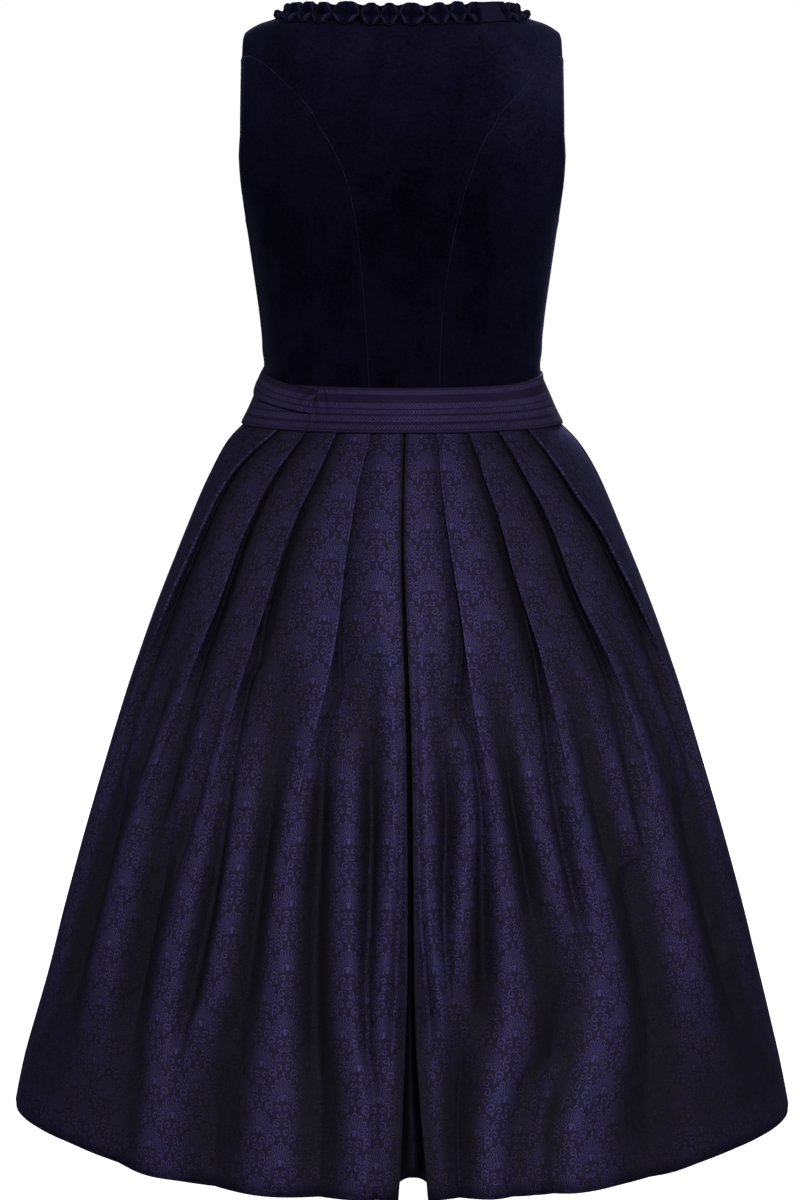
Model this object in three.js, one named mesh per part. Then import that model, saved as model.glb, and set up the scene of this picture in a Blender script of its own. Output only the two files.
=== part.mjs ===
// A sleeveless dirndl in its worn, hollow form: velvet bodice cut in princess panels, ruched neck trim,
// pleated skirt with an inverted pleat at the centre back, and an apron with a striped band and a bow.
// Millimetres. +Z is up, +Y is the wearer's front and +X the wearer's right. The origin lies midway between
// the shoulders, at the height where they carry the straps.
import * as THREE from 'three';

// ---- driving dimensions ----------------------------------------------------------------------------
const VELVET = 2;
const SKIRTING = 1.5;
const APRON_CLOTH = 1.2;
const RIBBON = 1.6;
const SEAM = 0.4;

const WAIST = -352;
const BAND_TOP = -336;
const BAND_BOTTOM = -377;
const HEM = -1037;

const BLADE = -100;
const ARCH_RUN = 130;
const ARCH_SQUARE = 2.4;
const SHOULDER = BLADE + ARCH_RUN;

const NECK_HALF = 106;
const NECK_BACK = 92;
const NECK_SQUARE = 2.5;

// The ruched neck trim: the length of one puff and the points along it, how far the strip stands above the
// neckline's edge and reaches below it, how far it clears the cloth and how much a puff rises and widens.
const PUFF = 20;
const PUFF_COLUMNS = 3;
const TRIM_ABOVE = 4.5;
const TRIM_BELOW = 11;
const TRIM_CLEAR = { back: 1.1, front: 0.8 };
const TRIM_EDGE = 1.2;
const PUFF_RISE = 4.6;
const PUFF_SPREAD = 1.5;

// The bow: where it sits round the waist from the centre back, and the size of its parts.
const BOW = {
  turn: 206, height: -356, loop: 62, tail: 330, stand: 9, rest: 0.3, knotHalf: 9, knotHeight: 13, ribbonHalf: 19,
};

// The tie's end over the band: its reach round the waist in degrees, its height and how far it rises.
const TIE = { from: -37, to: -96, bottom: -362, width: 21, rise: 15.5 };

const APRON_FOLDS = 9;

const RIGHT_ANGLE = Math.PI / 2;

// ---- tables: the worn section of the bodice, from the waist up ------------------------------------------
// level is the height up to the shoulder blades, and above them the run over the shoulder.
const FIGURE = [
  { level: -352, half: 130.0, back: 99.5, front: 98.0, square: 2.00 },
  { level: -330, half: 129.1, back: 98.5, front: 97.5, square: 2.00 },
  { level: -310, half: 129.7, back: 98.0, front: 98.5, square: 2.05 },
  { level: -282, half: 132.0, back: 99.0, front: 103.0, square: 2.12 },
  { level: -244, half: 137.0, back: 101.0, front: 114.0, square: 2.22 },
  { level: -216, half: 141.0, back: 103.0, front: 124.0, square: 2.29 },
  { level: -190, half: 145.5, back: 105.0, front: 130.0, square: 2.34 },
  { level: -175, half: 150.5, back: 106.5, front: 130.5, square: 2.36 },
  { level: -150, half: 157.0, back: 108.5, front: 127.5, square: 2.38 },
  { level: -125, half: 161.0, back: 109.7, front: 121.0, square: 2.40 },
  { level: -100, half: 163.0, back: 110.0, front: 115.5, square: 2.40 },
  { level: -60, half: 163.0, back: 110.0, front: 108.5, square: 2.40 },
  { level: 30, half: 163.0, back: 110.0, front: 102.0, square: 2.40 },
];

// Height of the shoulder ridge at a distance from the centre. Inside the neck opening it is only a guide.
const SHOULDER_RIDGE = [
  { across: 0, height: 48 },
  { across: 40, height: 43 },
  { across: 80, height: 20 },
  { across: 95, height: 7 },
  { across: 103, height: -1.5 },
  { across: 110, height: -4 },
  { across: 119, height: -6 },
  { across: 130, height: -9.5 },
  { across: 139, height: -14 },
  { across: 144, height: -18 },
  { across: 149, height: -24 },
];

// The back princess seams, by their distance from the centre line. They end at the armhole.
const BACK_PRINCESS = [
  { level: -352, left: 29.5, right: 34 },
  { level: -290, left: 32.5, right: 35.5 },
  { level: -242, left: 36, right: 40 },
  { level: -204, left: 39.5, right: 46 },
  { level: -157, left: 47.5, right: 57 },
  { level: -135, left: 55, right: 65 },
  { level: -112, left: 66.5, right: 74.5 },
  { level: -100, left: 75, right: 83 },
  { level: -83, left: 97, right: 106 },
  { level: -62, left: 122, right: 130 },
  { level: -36, left: 147.3, right: 147.3 },
];

// The front princess seams run over the fullest part of the bust.
const FRONT_PRINCESS = [
  { level: -352, left: 42, right: 42 },
  { level: -300, left: 48, right: 48 },
  { level: -250, left: 58, right: 58 },
  { level: -205, left: 70, right: 70 },
  { level: -165, left: 86, right: 86 },
  { level: -135, left: 109, right: 109 },
  { level: -115, left: 135, right: 135 },
];

// Lower half of the armhole: how far its edge lies behind or before the side seam.
const ARMHOLE_REACH = [
  { level: -190, back: 0, front: 0 },
  { level: -186.5, back: 22, front: 26 },
  { level: -177, back: 38, front: 46 },
  { level: -161, back: 48.5, front: 61 },
  { level: -138, back: 54, front: 71.5 },
  { level: -115, back: 55, front: 76.5 },
];

// Upper half of the armhole: how far its edge lies from the centre line.
const ARMHOLE_ACROSS = [
  { level: -100, back: 149.5, front: 135.5 },
  { level: -70, back: 148.6, front: 137.5 },
  { level: -36, back: 147.3, front: 141.5 },
  { level: 30, back: 147, front: 147 },
];

// Front neckline, from the centre front up to the shoulder.
const FRONT_NECKLINE = [
  { across: 0, level: -147 },
  { across: 32, level: -144 },
  { across: 62, level: -136 },
  { across: 84, level: -121 },
  { across: 96, level: -98 },
  { across: 101, level: -68 },
  { across: 104, level: -34 },
  { across: 105.6, level: 0 },
  { across: 106, level: 30 },
];

// ---- tables: the skirt, from the hem up --------------------------------------------------------------
// fold is the height of a pleat's edge, ease the width of the step beside it, and the last two columns
// are the inverted pleat at the centre back.
const SKIRT = [
  { z: -1037, half: 368.4, back: 300, front: 296, fold: 5.5, ease: 34, parting: 10, recess: 56 },
  { z: -900, half: 336, back: 270, front: 268, fold: 8, ease: 26, parting: 6.5, recess: 44 },
  { z: -760, half: 299.5, back: 241, front: 240, fold: 9, ease: 17, parting: 4.6, recess: 32 },
  { z: -640, half: 264.8, back: 214, front: 213, fold: 8.5, ease: 8, parting: 3.4, recess: 24 },
  { z: -540, half: 230, back: 189, front: 187, fold: 7, ease: 4, parting: 2.6, recess: 16 },
  { z: -470, half: 202, back: 162, front: 158, fold: 5.8, ease: 3, parting: 2, recess: 10 },
  { z: -425, half: 181.5, back: 140, front: 135, fold: 4.4, ease: 2.5, parting: 1.8, recess: 6.5 },
  { z: -397, half: 164.6, back: 124, front: 119, fold: 2.6, ease: 2, parting: 1.6, recess: 4 },
  { z: -384, half: 153.5, back: 114.5, front: 111, fold: 1.4, ease: 1.8, parting: 1.4, recess: 2.4 },
  { z: -377, half: 146.6, back: 108.3, front: 106.2, fold: 0.8, ease: 1.6, parting: 1.3, recess: 1.9 },
  { z: -352.4, half: 133.6, back: 101.6, front: 100.2, fold: 0.6, ease: 1.6, parting: 1.2, recess: 1.6 },
];

// Where the edges of the four pleats each side of the centre back lie round the waist, in degrees from
// the centre. They face the centre and spread towards the hem.
const PLEATS = [
  { z: -1037, l1: 19.1, l2: 39.8, l3: 54, l4: 67, r1: 21, r2: 40, r3: 60, r4: 78, centre: 1.6 },
  { z: -910, l1: 17.4, l2: 37.8, l3: 52.8, l4: 70, r1: 19, r2: 36.6, r3: 60.5, r4: 78.5, centre: 1.5 },
  { z: -800, l1: 16, l2: 36, l3: 51.5, l4: 75, r1: 17, r2: 33.5, r3: 57, r4: 78, centre: 1.4 },
  { z: -690, l1: 14.8, l2: 34.5, l3: 50.3, l4: 74, r1: 15, r2: 30.8, r3: 50.5, r4: 75.5, centre: 1.3 },
  { z: -600, l1: 13.7, l2: 32.8, l3: 48.6, l4: 72, r1: 13.1, r2: 28.7, r3: 46.8, r4: 72.5, centre: 1.2 },
  { z: -530, l1: 13.4, l2: 30.9, l3: 45.6, l4: 70.5, r1: 12.3, r2: 27, r3: 43, r4: 68, centre: 1.1 },
  { z: -470, l1: 12.7, l2: 28, l3: 42.4, l4: 65.5, r1: 11.5, r2: 25, r3: 40, r4: 58.5, centre: 0.9 },
  { z: -415, l1: 10.8, l2: 23.7, l3: 37.4, l4: 55, r1: 10.9, r2: 23.2, r3: 35.1, r4: 51, centre: 0.8 },
  { z: -379, l1: 10.4, l2: 21.7, l3: 32.9, l4: 45.3, r1: 11.4, r2: 22.5, r3: 32.8, r4: 46.6, centre: 0.7 },
  { z: -352, l1: 10.2, l2: 21.5, l3: 32.5, l4: 45, r1: 11.2, r2: 22.3, r3: 32.6, r4: 46.2, centre: 0.6 },
];

// The band lies over the waist seam, and over the tops of the pleats.
const BAND = [
  { z: -377, half: 150.6, back: 112, front: 110 },
  { z: -364, half: 143.6, back: 107.6, front: 106 },
  { z: -350, half: 137.4, back: 104.6, front: 103.2 },
  { z: -336, half: 131.5, back: 101.4, front: 100.2 },
];

// The apron hangs clear of the pleats under it; wave is the depth of its own soft folds.
const APRON = [
  { z: -1011, half: 371.5, back: 300, front: 300, wave: 9 },
  { z: -900, half: 347, back: 270, front: 281, wave: 9 },
  { z: -760, half: 311.5, back: 241, front: 253.5, wave: 8 },
  { z: -640, half: 276.5, back: 214, front: 226, wave: 7 },
  { z: -540, half: 240.5, back: 189, front: 199, wave: 5.5 },
  { z: -470, half: 211.5, back: 162, front: 169, wave: 4 },
  { z: -425, half: 190, back: 140, front: 144.5, wave: 2.6 },
  { z: -397, half: 171.5, back: 124, front: 126, wave: 1.6 },
  { z: -377.4, half: 151.5, back: 112, front: 110.5, wave: 0.8 },
];

// ---- small tools ---------------------------------------------------------------------------------------
// A smooth curve down one named column of a table whose key column rises.
function curve(rows, key, name) {
  const ordered = [...rows].sort((a, b) => a[key] - b[key]);
  const x = ordered.map((row) => row[key]);
  const y = ordered.map((row) => row[name]);
  const last = x.length - 1;
  const chord = x.slice(1).map((value, i) => (y[i + 1] - y[i]) / (value - x[i]));
  const slope = x.map((_, i) => {
    const before = chord[Math.max(i - 1, 0)];
    const after = chord[Math.min(i, last - 1)];
    return before * after > 0 ? (2 * before * after) / (before + after) : 0;
  });
  return (at) => {
    const value = THREE.MathUtils.clamp(at, x[0], x[last]);
    let i = 0;
    while (i < last - 1 && value > x[i + 1]) {
      i += 1;
    }
    const width = x[i + 1] - x[i];
    const t = (value - x[i]) / width;
    const s = 1 - t;
    const ends = y[i] * s * s * (1 + 2 * t) + y[i + 1] * t * t * (1 + 2 * s);
    return ends + width * t * s * (slope[i] * s - slope[i + 1] * t);
  };
}

function columns(rows, key, names) {
  return Object.fromEntries(names.map((name) => [name, curve(rows, key, name)]));
}

function signedPower(value, power) {
  return Math.sign(value) * Math.abs(value) ** power;
}

function mix(a, b, t) {
  return a + (b - a) * t;
}

function steps(count) {
  return Array.from({ length: count + 1 }, (_, i) => i / count);
}

// The same path with its points evenly spaced.
function evenly(path, count) {
  const run = [0];
  for (let i = 1; i < path.length; i += 1) {
    run.push(run[i - 1] + Math.hypot(path[i][0] - path[i - 1][0], path[i][1] - path[i - 1][1]));
  }
  return steps(count).map((share) => {
    const target = share * run[run.length - 1];
    let i = 1;
    while (i < path.length - 1 && run[i] < target) {
      i += 1;
    }
    const t = (target - run[i - 1]) / (run[i] - run[i - 1]);
    return [mix(path[i - 1][0], path[i][0], t), mix(path[i - 1][1], path[i][1], t)];
  });
}

// A closed wall between outer and inner grids of points, each grid as rows of Vector3. Grids that share an
// edge line join there, and every open edge is closed by a strip from the outer to the inner side.
function wall(outerGrids, innerGrids) {
  const numbers = new Map();
  const outer = [];
  const inner = [];
  const number = (point, twin) => {
    const key = point.toArray().map((value) => Math.round(value * 1e4)).join();
    if (!numbers.has(key)) {
      numbers.set(key, outer.length);
      outer.push(point);
      inner.push(twin);
    }
    return numbers.get(key);
  };
  const skin = [];
  outerGrids.forEach((grid, k) => {
    const ids = grid.map((row, j) => row.map((point, i) => number(point, innerGrids[k][j][i])));
    for (let j = 0; j < ids.length - 1; j += 1) {
      for (let i = 0; i < ids[0].length - 1; i += 1) {
        const [a, b, c, d] = [ids[j][i], ids[j][i + 1], ids[j + 1][i + 1], ids[j + 1][i]];
        const leaning = outer[a].distanceTo(outer[c]) > outer[b].distanceTo(outer[d]);
        skin.push(...(leaning ? [[a, b, d], [b, c, d]] : [[a, b, c], [a, c, d]]));
      }
    }
  });
  const edges = skin.flatMap(([a, b, c]) => [[a, b], [b, c], [c, a]]);
  const known = new Set(edges.map((edge) => edge.join()));
  const shift = outer.length;
  const faces = skin.flatMap(([a, b, c]) => [a, b, c, a + shift, c + shift, b + shift]);
  for (const [a, b] of edges.filter((edge) => !known.has([...edge].reverse().join()))) {
    faces.push(b, a, a + shift, b, a + shift, b + shift);
  }
  return solid([...outer, ...inner], faces);
}

function solid(points, faces) {
  let volume = 0;
  for (let i = 0; i < faces.length; i += 3) {
    const [a, b, c] = faces.slice(i, i + 3).map((index) => points[index]);
    volume += a.dot(b.clone().cross(c));
  }
  const index = volume > 0 ? faces : [...faces].reverse();
  const geometry = new THREE.BufferGeometry();
  geometry.setAttribute('position', new THREE.Float32BufferAttribute(points.flatMap((p) => p.toArray()), 3));
  geometry.setIndex(index);
  geometry.computeVertexNormals();
  return geometry;
}

// ---- finishes ---------------------------------------------------------------------------------------------
function finish(color, roughness) {
  return new THREE.MeshStandardMaterial({ color, roughness, metalness: 0 });
}

const velvet = finish(0x10101f, 0.95);
const trimming = finish(0x12121f, 0.85);
const damask = finish(0x241f3c, 0.45);
const apronSatin = finish(0x2b2547, 0.5);
const stripedRibbon = finish(0x2a2440, 0.6);

const dirndl = new THREE.Group();

function add(name, geometry, material) {
  const mesh = new THREE.Mesh(geometry, material);
  mesh.name = name;
  dirndl.add(mesh);
}

// ---- bodice surface -----------------------------------------------------------------------------------------
const figure = columns(FIGURE, 'level', ['half', 'back', 'front', 'square']);
const ridge = curve(SHOULDER_RIDGE, 'across', 'height');
const BACK = -1;
const FRONT = 1;

// Fullness that the front princess seams give each side of the bust.
function bustEase(across, z) {
  return 8 * Math.exp(-(((Math.abs(across) - 66) / 40) ** 2) - ((z + 188) / 52) ** 2);
}

// turn runs from the centre line, 0, to the side seam, a right angle, and is negative on the left.
function bodicePoint(face, turn, level, open = 0) {
  const arch = Math.max(0, (level - BLADE) / ARCH_RUN) * RIGHT_ANGLE;
  const power = 2 / figure.square(level);
  const across = figure.half(level) * signedPower(Math.sin(turn), power);
  const depth = (face === BACK ? figure.back : figure.front)(level) * signedPower(Math.cos(turn), power);
  const lift = Math.abs(Math.sin(arch)) ** (2 / ARCH_SQUARE);
  const z = Math.min(level, BLADE) + (ridge(Math.abs(across)) - BLADE) * lift;
  const ease = face === FRONT ? bustEase(across, z) : 0;
  const y = face * (depth * signedPower(Math.cos(arch), 2 / ARCH_SQUARE) + ease * Math.cos(turn) + SEAM / 2);
  return new THREE.Vector3(across + open, y, z);
}

function bodiceNormal(face, turn, level) {
  const small = 0.004;
  const near = (a, b) => bodicePoint(face, turn + a, level + b);
  const sideways = near(small, 0).sub(near(-small, 0));
  const upwards = near(0, small * 100).sub(near(0, -small * 100));
  return sideways.cross(upwards).multiplyScalar(-face).normalize();
}

// The turn at which the section is this far from the centre line.
function turnAt(across, level) {
  const share = Math.min(1, Math.abs(across) / figure.half(level));
  return Math.sign(across) * Math.asin(share ** (figure.square(level) / 2));
}

// The two sides of a panel between its start and end edges, each a list of [turn, level] up from the waist.
// Its rows run straight between them, and take up a curved top edge's shape as they near it.
function panel(face, start, end, cells, open = 0, top = null) {
  const places = steps(start.length - 1).map((v, j) => steps(cells).map((u, i) => [0, 1].map((k) =>
    mix(start[j][k], end[j][k], u) + (top ? (top[i][k] - mix(top[0][k], top[cells][k], u)) * v ** 2.5 : 0))));
  const outer = places.map((row) => row.map(([turn, level]) => bodicePoint(face, turn, level, open)));
  const inner = places.map((row, j) => row.map(([turn, level], i) =>
    outer[j][i].clone().addScaledVector(bodiceNormal(face, turn, level), -VELVET)));
  return [outer, inner];
}

const toTurns = (path) => path.map(([across, level]) => [turnAt(across, level), level]);

function seamPath(table, name, from, to) {
  const line = curve(table, 'level', name);
  return steps(60).map((t) => [line(mix(from, to, t)), mix(from, to, t)]);
}

// ---- bodice seams and edges ------------------------------------------------------------------------------
const PRINCESS_STEPS = 11;
const PRINCESS_TOP = { back: -36, front: -115 };
const UNDERARM = -190;

function princess(face, side, shift) {
  const table = face === BACK ? BACK_PRINCESS : FRONT_PRINCESS;
  const top = face === BACK ? PRINCESS_TOP.back : PRINCESS_TOP.front;
  const even = evenly(seamPath(table, side, WAIST, top), PRINCESS_STEPS);
  return even.map(([across, level]) => [across + shift, level]);
}

const mirrored = (path, hand) => path.map(([across, level]) => [hand * across, level]);

// The turn at which the section below the shoulder blades is this far behind or before the side seam.
function turnAtReach(face, reach, level) {
  const depth = (face === BACK ? figure.back : figure.front)(level);
  return Math.acos(Math.min(1, reach / depth) ** (figure.square(level) / 2));
}

// Armhole edge as [turn, level], evenly spaced. Part one ends where the princess seam meets it.
function armhole(face, upper, count) {
  const name = face === BACK ? 'back' : 'front';
  const corner = PRINCESS_TOP[name];
  const meeting = turnAt(face === BACK ? 147.3 : 135, corner);
  const reach = curve(ARMHOLE_REACH, 'level', name);
  const across = curve(ARMHOLE_ACROSS, 'level', name);
  const spot = (level) =>
    (level < -115 ? turnAtReach(face, reach(level), level) : turnAt(across(level), level));
  const [from, to] = upper ? [corner, SHOULDER] : [UNDERARM, corner];
  const dense = steps(90).map((t) => mix(from, to, upper ? t : t ** 2)).map((level) => [spot(level), level]);
  dense[upper ? 0 : dense.length - 1][0] = meeting;
  const scale = figure.half(BLADE);
  return evenly(dense.map(([turn, level]) => [turn * scale, level]), count)
    .map(([run, level]) => [run / scale, level]);
}

// Back neckline: a squared oval seen from above, here as [across, level] for a share from the centre.
function backNeckPoint(share) {
  const angle = share * RIGHT_ANGLE;
  const across = NECK_HALF * signedPower(Math.sin(angle), 2 / NECK_SQUARE);
  const depth = NECK_BACK * Math.max(0, Math.cos(angle)) ** (2 / NECK_SQUARE);
  const turn = turnAt(across, BLADE);
  const full = figure.back(BLADE) * Math.cos(turn) ** (2 / figure.square(BLADE));
  const arch = Math.acos(Math.min(1, (depth / full) ** (ARCH_SQUARE / 2)));
  return [across, BLADE + (arch / RIGHT_ANGLE) * ARCH_RUN];
}

function frontNeckPath() {
  const level = curve(FRONT_NECKLINE.map((row, i) => ({ ...row, order: i })), 'order', 'level');
  const across = curve(FRONT_NECKLINE.map((row, i) => ({ ...row, order: i })), 'order', 'across');
  return steps(96).map((t) => [across(t * (FRONT_NECKLINE.length - 1)), level(t * (FRONT_NECKLINE.length - 1))]);
}

// ---- bodice pieces --------------------------------------------------------------------------------------
const GAP_AT_SEAM = 0.22;
const HANDS = [{ side: 'left', hand: -1 }, { side: 'right', hand: 1 }];

// The outer edge of a centre panel: its princess seam, then the armhole up to the shoulder.
function outerEdge(face, side, hand, strapRows) {
  return mirrored([
    ...toTurns(princess(face, side, -GAP_AT_SEAM)),
    ...armhole(face, true, strapRows).slice(1),
  ], hand);
}

// The inner edge of a centre panel: the centre line, then the neckline out to the shoulder.
function innerEdge(neckPath, centreRows, neckRows, hand) {
  const neck = toTurns(mirrored(evenly(neckPath, neckRows), hand));
  const centre = steps(centreRows).map((t) => [0, mix(WAIST, neck[0][1], t)]);
  return [...centre, ...neck.slice(1)];
}

function bodiceBack() {
  const neckPath = steps(80).map(backNeckPoint);
  const [left, right] = HANDS.map(({ side, hand }) => {
    const edges = [outerEdge(BACK, side, hand, 6), innerEdge(neckPath, 10, PRINCESS_STEPS - 4, hand)];
    return panel(BACK, ...(hand < 0 ? edges : edges.reverse()), 6);
  });
  return wall([left[0], right[0]], [left[1], right[1]]);
}

function bodiceSide(face, side, hand) {
  const across = 8;
  const start = toTurns(mirrored(princess(face, side, GAP_AT_SEAM), hand));
  const top = mirrored(armhole(face, false, across).reverse(), hand);
  const sideSeam = steps(PRINCESS_STEPS).map((t) => [hand * RIGHT_ANGLE, mix(WAIST, UNDERARM, t)]);
  top[0] = start.at(-1);
  top[across] = sideSeam.at(-1);
  const [outer, inner] = panel(face, start, sideSeam, across, face === FRONT ? hand * SEAM / 2 : 0, top);
  return wall([outer], [inner]);
}

function bodiceFront(side, hand) {
  const inside = innerEdge(frontNeckPath(), 6, PRINCESS_STEPS - 1, hand);
  const [outer, inner] = panel(FRONT, inside, outerEdge(FRONT, side, hand, 5), 6, hand * SEAM / 2);
  return wall([outer], [inner]);
}

// ---- neck trim: a strip pinched into puffs, lying on the neckline's edge ---------------------------------
function neckTrim(face, path, open) {
  const spots = path.map(([across, level]) => [turnAt(across, level), level]);
  const centreLine = spots.map(([turn, level]) => bodicePoint(face, turn, level, open));
  const normals = spots.map(([turn, level]) => bodiceNormal(face, turn, level));
  const count = centreLine.length - 1;
  const tangents = centreLine.map((_, i) => {
    const before = centreLine[Math.max(i - 1, 0)];
    return centreLine[Math.min(i + 1, count)].clone().sub(before).normalize();
  });
  const downs = normals.map((normal, i) => {
    const down = normal.clone().cross(tangents[i]).normalize();
    return down.z > 0 || (Math.abs(down.z) < 0.2 && down.x * centreLine[i].x < 0) ? down.negate() : down;
  });
  const rowsAcross = [0, 0.3, 0.7, 1];
  const puffs = Math.round(count / PUFF_COLUMNS);
  const fullness = (i) => Math.abs(Math.sin((i / count) * puffs * Math.PI));
  const bulge = (share, i) =>
    TRIM_EDGE + PUFF_RISE * Math.sin(Math.PI * share) ** 0.6 * (0.3 + 0.7 * fullness(i));
  const spread = (share, i) =>
    mix(-TRIM_ABOVE, TRIM_BELOW, share) + PUFF_SPREAD * fullness(i) * Math.sign(share - 0.5);
  const clear = face === BACK ? TRIM_CLEAR.back : TRIM_CLEAR.front;
  const lay = (share, i, out) => {
    const { point, normal } = slide(face, spots[i], downs[i], spread(share, i), open);
    point.addScaledVector(normal, out);
    point.setY(face * Math.max(SEAM / 2, face * point.y));
    return open ? point.setX(Math.sign(open) * Math.max(SEAM / 2, Math.sign(open) * point.x)) : point;
  };
  const inner = rowsAcross.map((share) => centreLine.map((_, i) => lay(share, i, clear)));
  const outer = rowsAcross.map((share) => centreLine.map((_, i) => lay(share, i, clear + bulge(share, i))));
  return wall([outer], [inner]);
}

// Walks over the cloth from a spot, in short straight steps. Above the edge the way is straight.
function slide(face, [turn, level], direction, distance, open) {
  const start = bodicePoint(face, turn, level, open);
  const normal = bodiceNormal(face, turn, level);
  if (distance <= 0) {
    return { point: start.addScaledVector(direction, distance), normal };
  }
  const stride = distance / 4;
  const small = 0.002;
  let at = [turn, level];
  for (let k = 0; k < 4; k += 1) {
    const here = bodicePoint(face, at[0], at[1]);
    const sideways = bodicePoint(face, at[0] + small, at[1]).sub(here).divideScalar(small);
    const upwards = bodicePoint(face, at[0], at[1] - small * 50).sub(here).divideScalar(-small * 50);
    const a = sideways.lengthSq();
    const b = sideways.dot(upwards);
    const c = upwards.lengthSq();
    const p = sideways.dot(direction) * stride;
    const q = upwards.dot(direction) * stride;
    const spread = a * c - b * b;
    at = [at[0] + (c * p - b * q) / spread, Math.min(SHOULDER, at[1] + (a * q - b * p) / spread)];
  }
  return { point: bodicePoint(face, at[0], at[1], open), normal: bodiceNormal(face, at[0], at[1]) };
}

function pathLength(face, path) {
  const points = path.map(([across, level]) => bodicePoint(face, turnAt(across, level), level));
  return points.slice(1).reduce((sum, point, i) => sum + point.distanceTo(points[i]), 0);
}

function puffedPath(face, path) {
  const puffs = Math.round(pathLength(face, path) / PUFF);
  return evenly(path, puffs * PUFF_COLUMNS);
}

// ---- skirt --------------------------------------------------------------------------------------------------
const skirt = columns(SKIRT, 'z', ['half', 'back', 'front', 'fold', 'ease', 'parting', 'recess']);
const pleat = columns(PLEATS, 'z', ['l1', 'l2', 'l3', 'l4', 'r1', 'r2', 'r3', 'r4', 'centre']);
const BACK_FACE = [
  { share: 0, rise: 1 }, { share: 0.14, rise: 0.96 }, { share: 0.38, rise: 0.5 },
  { share: 0.64, rise: 0 }, { share: 0.86, rise: -0.38 },
];
const FRONT_FACE = [{ share: 0, rise: 1 }, { share: 0.3, rise: 0.6 }, { share: 0.7, rise: -0.1 }];
const VALLEY = -0.5;

// A point at an angle from the centre line of the back or front, moved out level from the plain ring.
function ringPoint(ring, face, angle, z, out) {
  const half = ring.half(z);
  const depth = (face === BACK ? ring.back : ring.front)(z);
  const x = half * Math.sin(angle);
  const y = depth * Math.cos(angle);
  const normal = new THREE.Vector2(x / half ** 2, y / depth ** 2).normalize();
  return new THREE.Vector2(x + normal.x * out, face * (y + normal.y * out));
}

// Half a skirt section from the centre out to the side seam, as [angle, height above the ring].
function halfSection(z, edges, firstAngle, pleatFace, strength) {
  const fold = skirt.fold(z) * strength;
  const marks = [firstAngle, ...edges, RIGHT_ANGLE];
  const stations = [];
  for (let k = 0; k < marks.length - 1; k += 1) {
    const lastFace = k === marks.length - 2;
    const step = lastFace ? 0 : skirt.ease(z) / skirt.half(z);
    const from = marks[k];
    const to = Math.max(marks[k + 1] - step, mix(marks[k], marks[k + 1], 0.5));
    pleatFace.forEach(({ share, rise }) => {
      const calm = (k === 0 ? Math.min(1, 0.35 + share) : 1) * (lastFace ? 1 - share : 1);
      stations.push([mix(from, to, share), rise * calm * fold]);
    });
    stations.push([to, lastFace ? 0 : VALLEY * fold]);
  }
  return stations;
}

function pleatEdges(z, names) {
  return names.map((name) => THREE.MathUtils.degToRad(pleat[name](z)));
}

function backSection(z) {
  const middle = THREE.MathUtils.degToRad(pleat.centre(z));
  const gap = skirt.parting(z) / skirt.half(z);
  const floor = -skirt.recess(z);
  const left = halfSection(z, pleatEdges(z, ['l1', 'l2', 'l3', 'l4']), gap - middle, BACK_FACE, 1);
  const right = halfSection(z, pleatEdges(z, ['r1', 'r2', 'r3', 'r4']), gap + middle, BACK_FACE, 1);
  return [
    ...left.map(([angle, out]) => [-angle, out]).reverse(),
    [middle - gap * 0.7, floor],
    [middle + gap * 0.7, floor],
    ...right,
  ];
}

function frontSection(z) {
  const left = pleatEdges(z, ['l1', 'l2', 'l3', 'l4']);
  const right = pleatEdges(z, ['r1', 'r2', 'r3', 'r4']);
  const edges = left.map((angle, i) => mix(angle, right[i], 0.5));
  const half = halfSection(z, edges, 0, FRONT_FACE, 0.7);
  return [...half.map(([angle, out]) => [-angle, out]).reverse(), ...half.slice(1)];
}

// Moves a section's points in by a wall's thickness, along the middle of the corners.
function inset(points, face, thickness, squareEnds) {
  const sideNormal = (a, b) => new THREE.Vector2(a.y - b.y, b.x - a.x).normalize().multiplyScalar(face);
  const last = points.length - 1;
  return points.map((point, i) => {
    if (squareEnds && (i === 0 || i === last)) {
      return point.clone().setX(point.x - Math.sign(point.x) * thickness);
    }
    const before = sideNormal(points[Math.max(0, i - 1)], points[Math.max(1, i)]);
    const after = sideNormal(points[Math.min(i, last - 1)], points[Math.min(i + 1, last)]);
    const stretch = Math.max(0.45, 1 + before.dot(after));
    return point.clone().addScaledVector(before.add(after), -thickness / stretch);
  });
}

function skirtPanel(face, section) {
  const heights = SKIRT.map((row) => row.z);
  const outlines = heights.map((z) => section(z).map(([angle, out]) => ringPoint(skirt, face, angle, z, out)));
  const seamed = outlines.map((line) => line.map((point) => point.setY(point.y + face * SEAM / 2)));
  const lean = (z) => (skirt.half(z - 4) - skirt.half(z + 4)) / 8;
  const inner = seamed.map((line, j) => inset(line, face, SKIRTING * Math.hypot(1, lean(heights[j])), true));
  const raise = (line, j) => line.map((point) => new THREE.Vector3(point.x, point.y, heights[j]));
  return wall([seamed.map(raise)], [inner.map(raise)]);
}

// ---- band, apron and bow -----------------------------------------------------------------------------------
const band = columns(BAND, 'z', ['half', 'back', 'front']);
const apronRing = columns(APRON, 'z', ['half', 'back', 'front', 'wave']);

// A point of a ring at an angle all the way round from the centre back, towards the wearer's right.
function roundPoint(ring, angle, z, out) {
  const half = ring.half(z);
  const depth = Math.cos(angle) > 0 ? ring.back(z) : ring.front(z);
  const x = half * Math.sin(angle);
  const y = -depth * Math.cos(angle);
  const normal = new THREE.Vector2(x / half ** 2, y / depth ** 2).normalize();
  return new THREE.Vector3(x + normal.x * out, y + normal.y * out, z);
}

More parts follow.
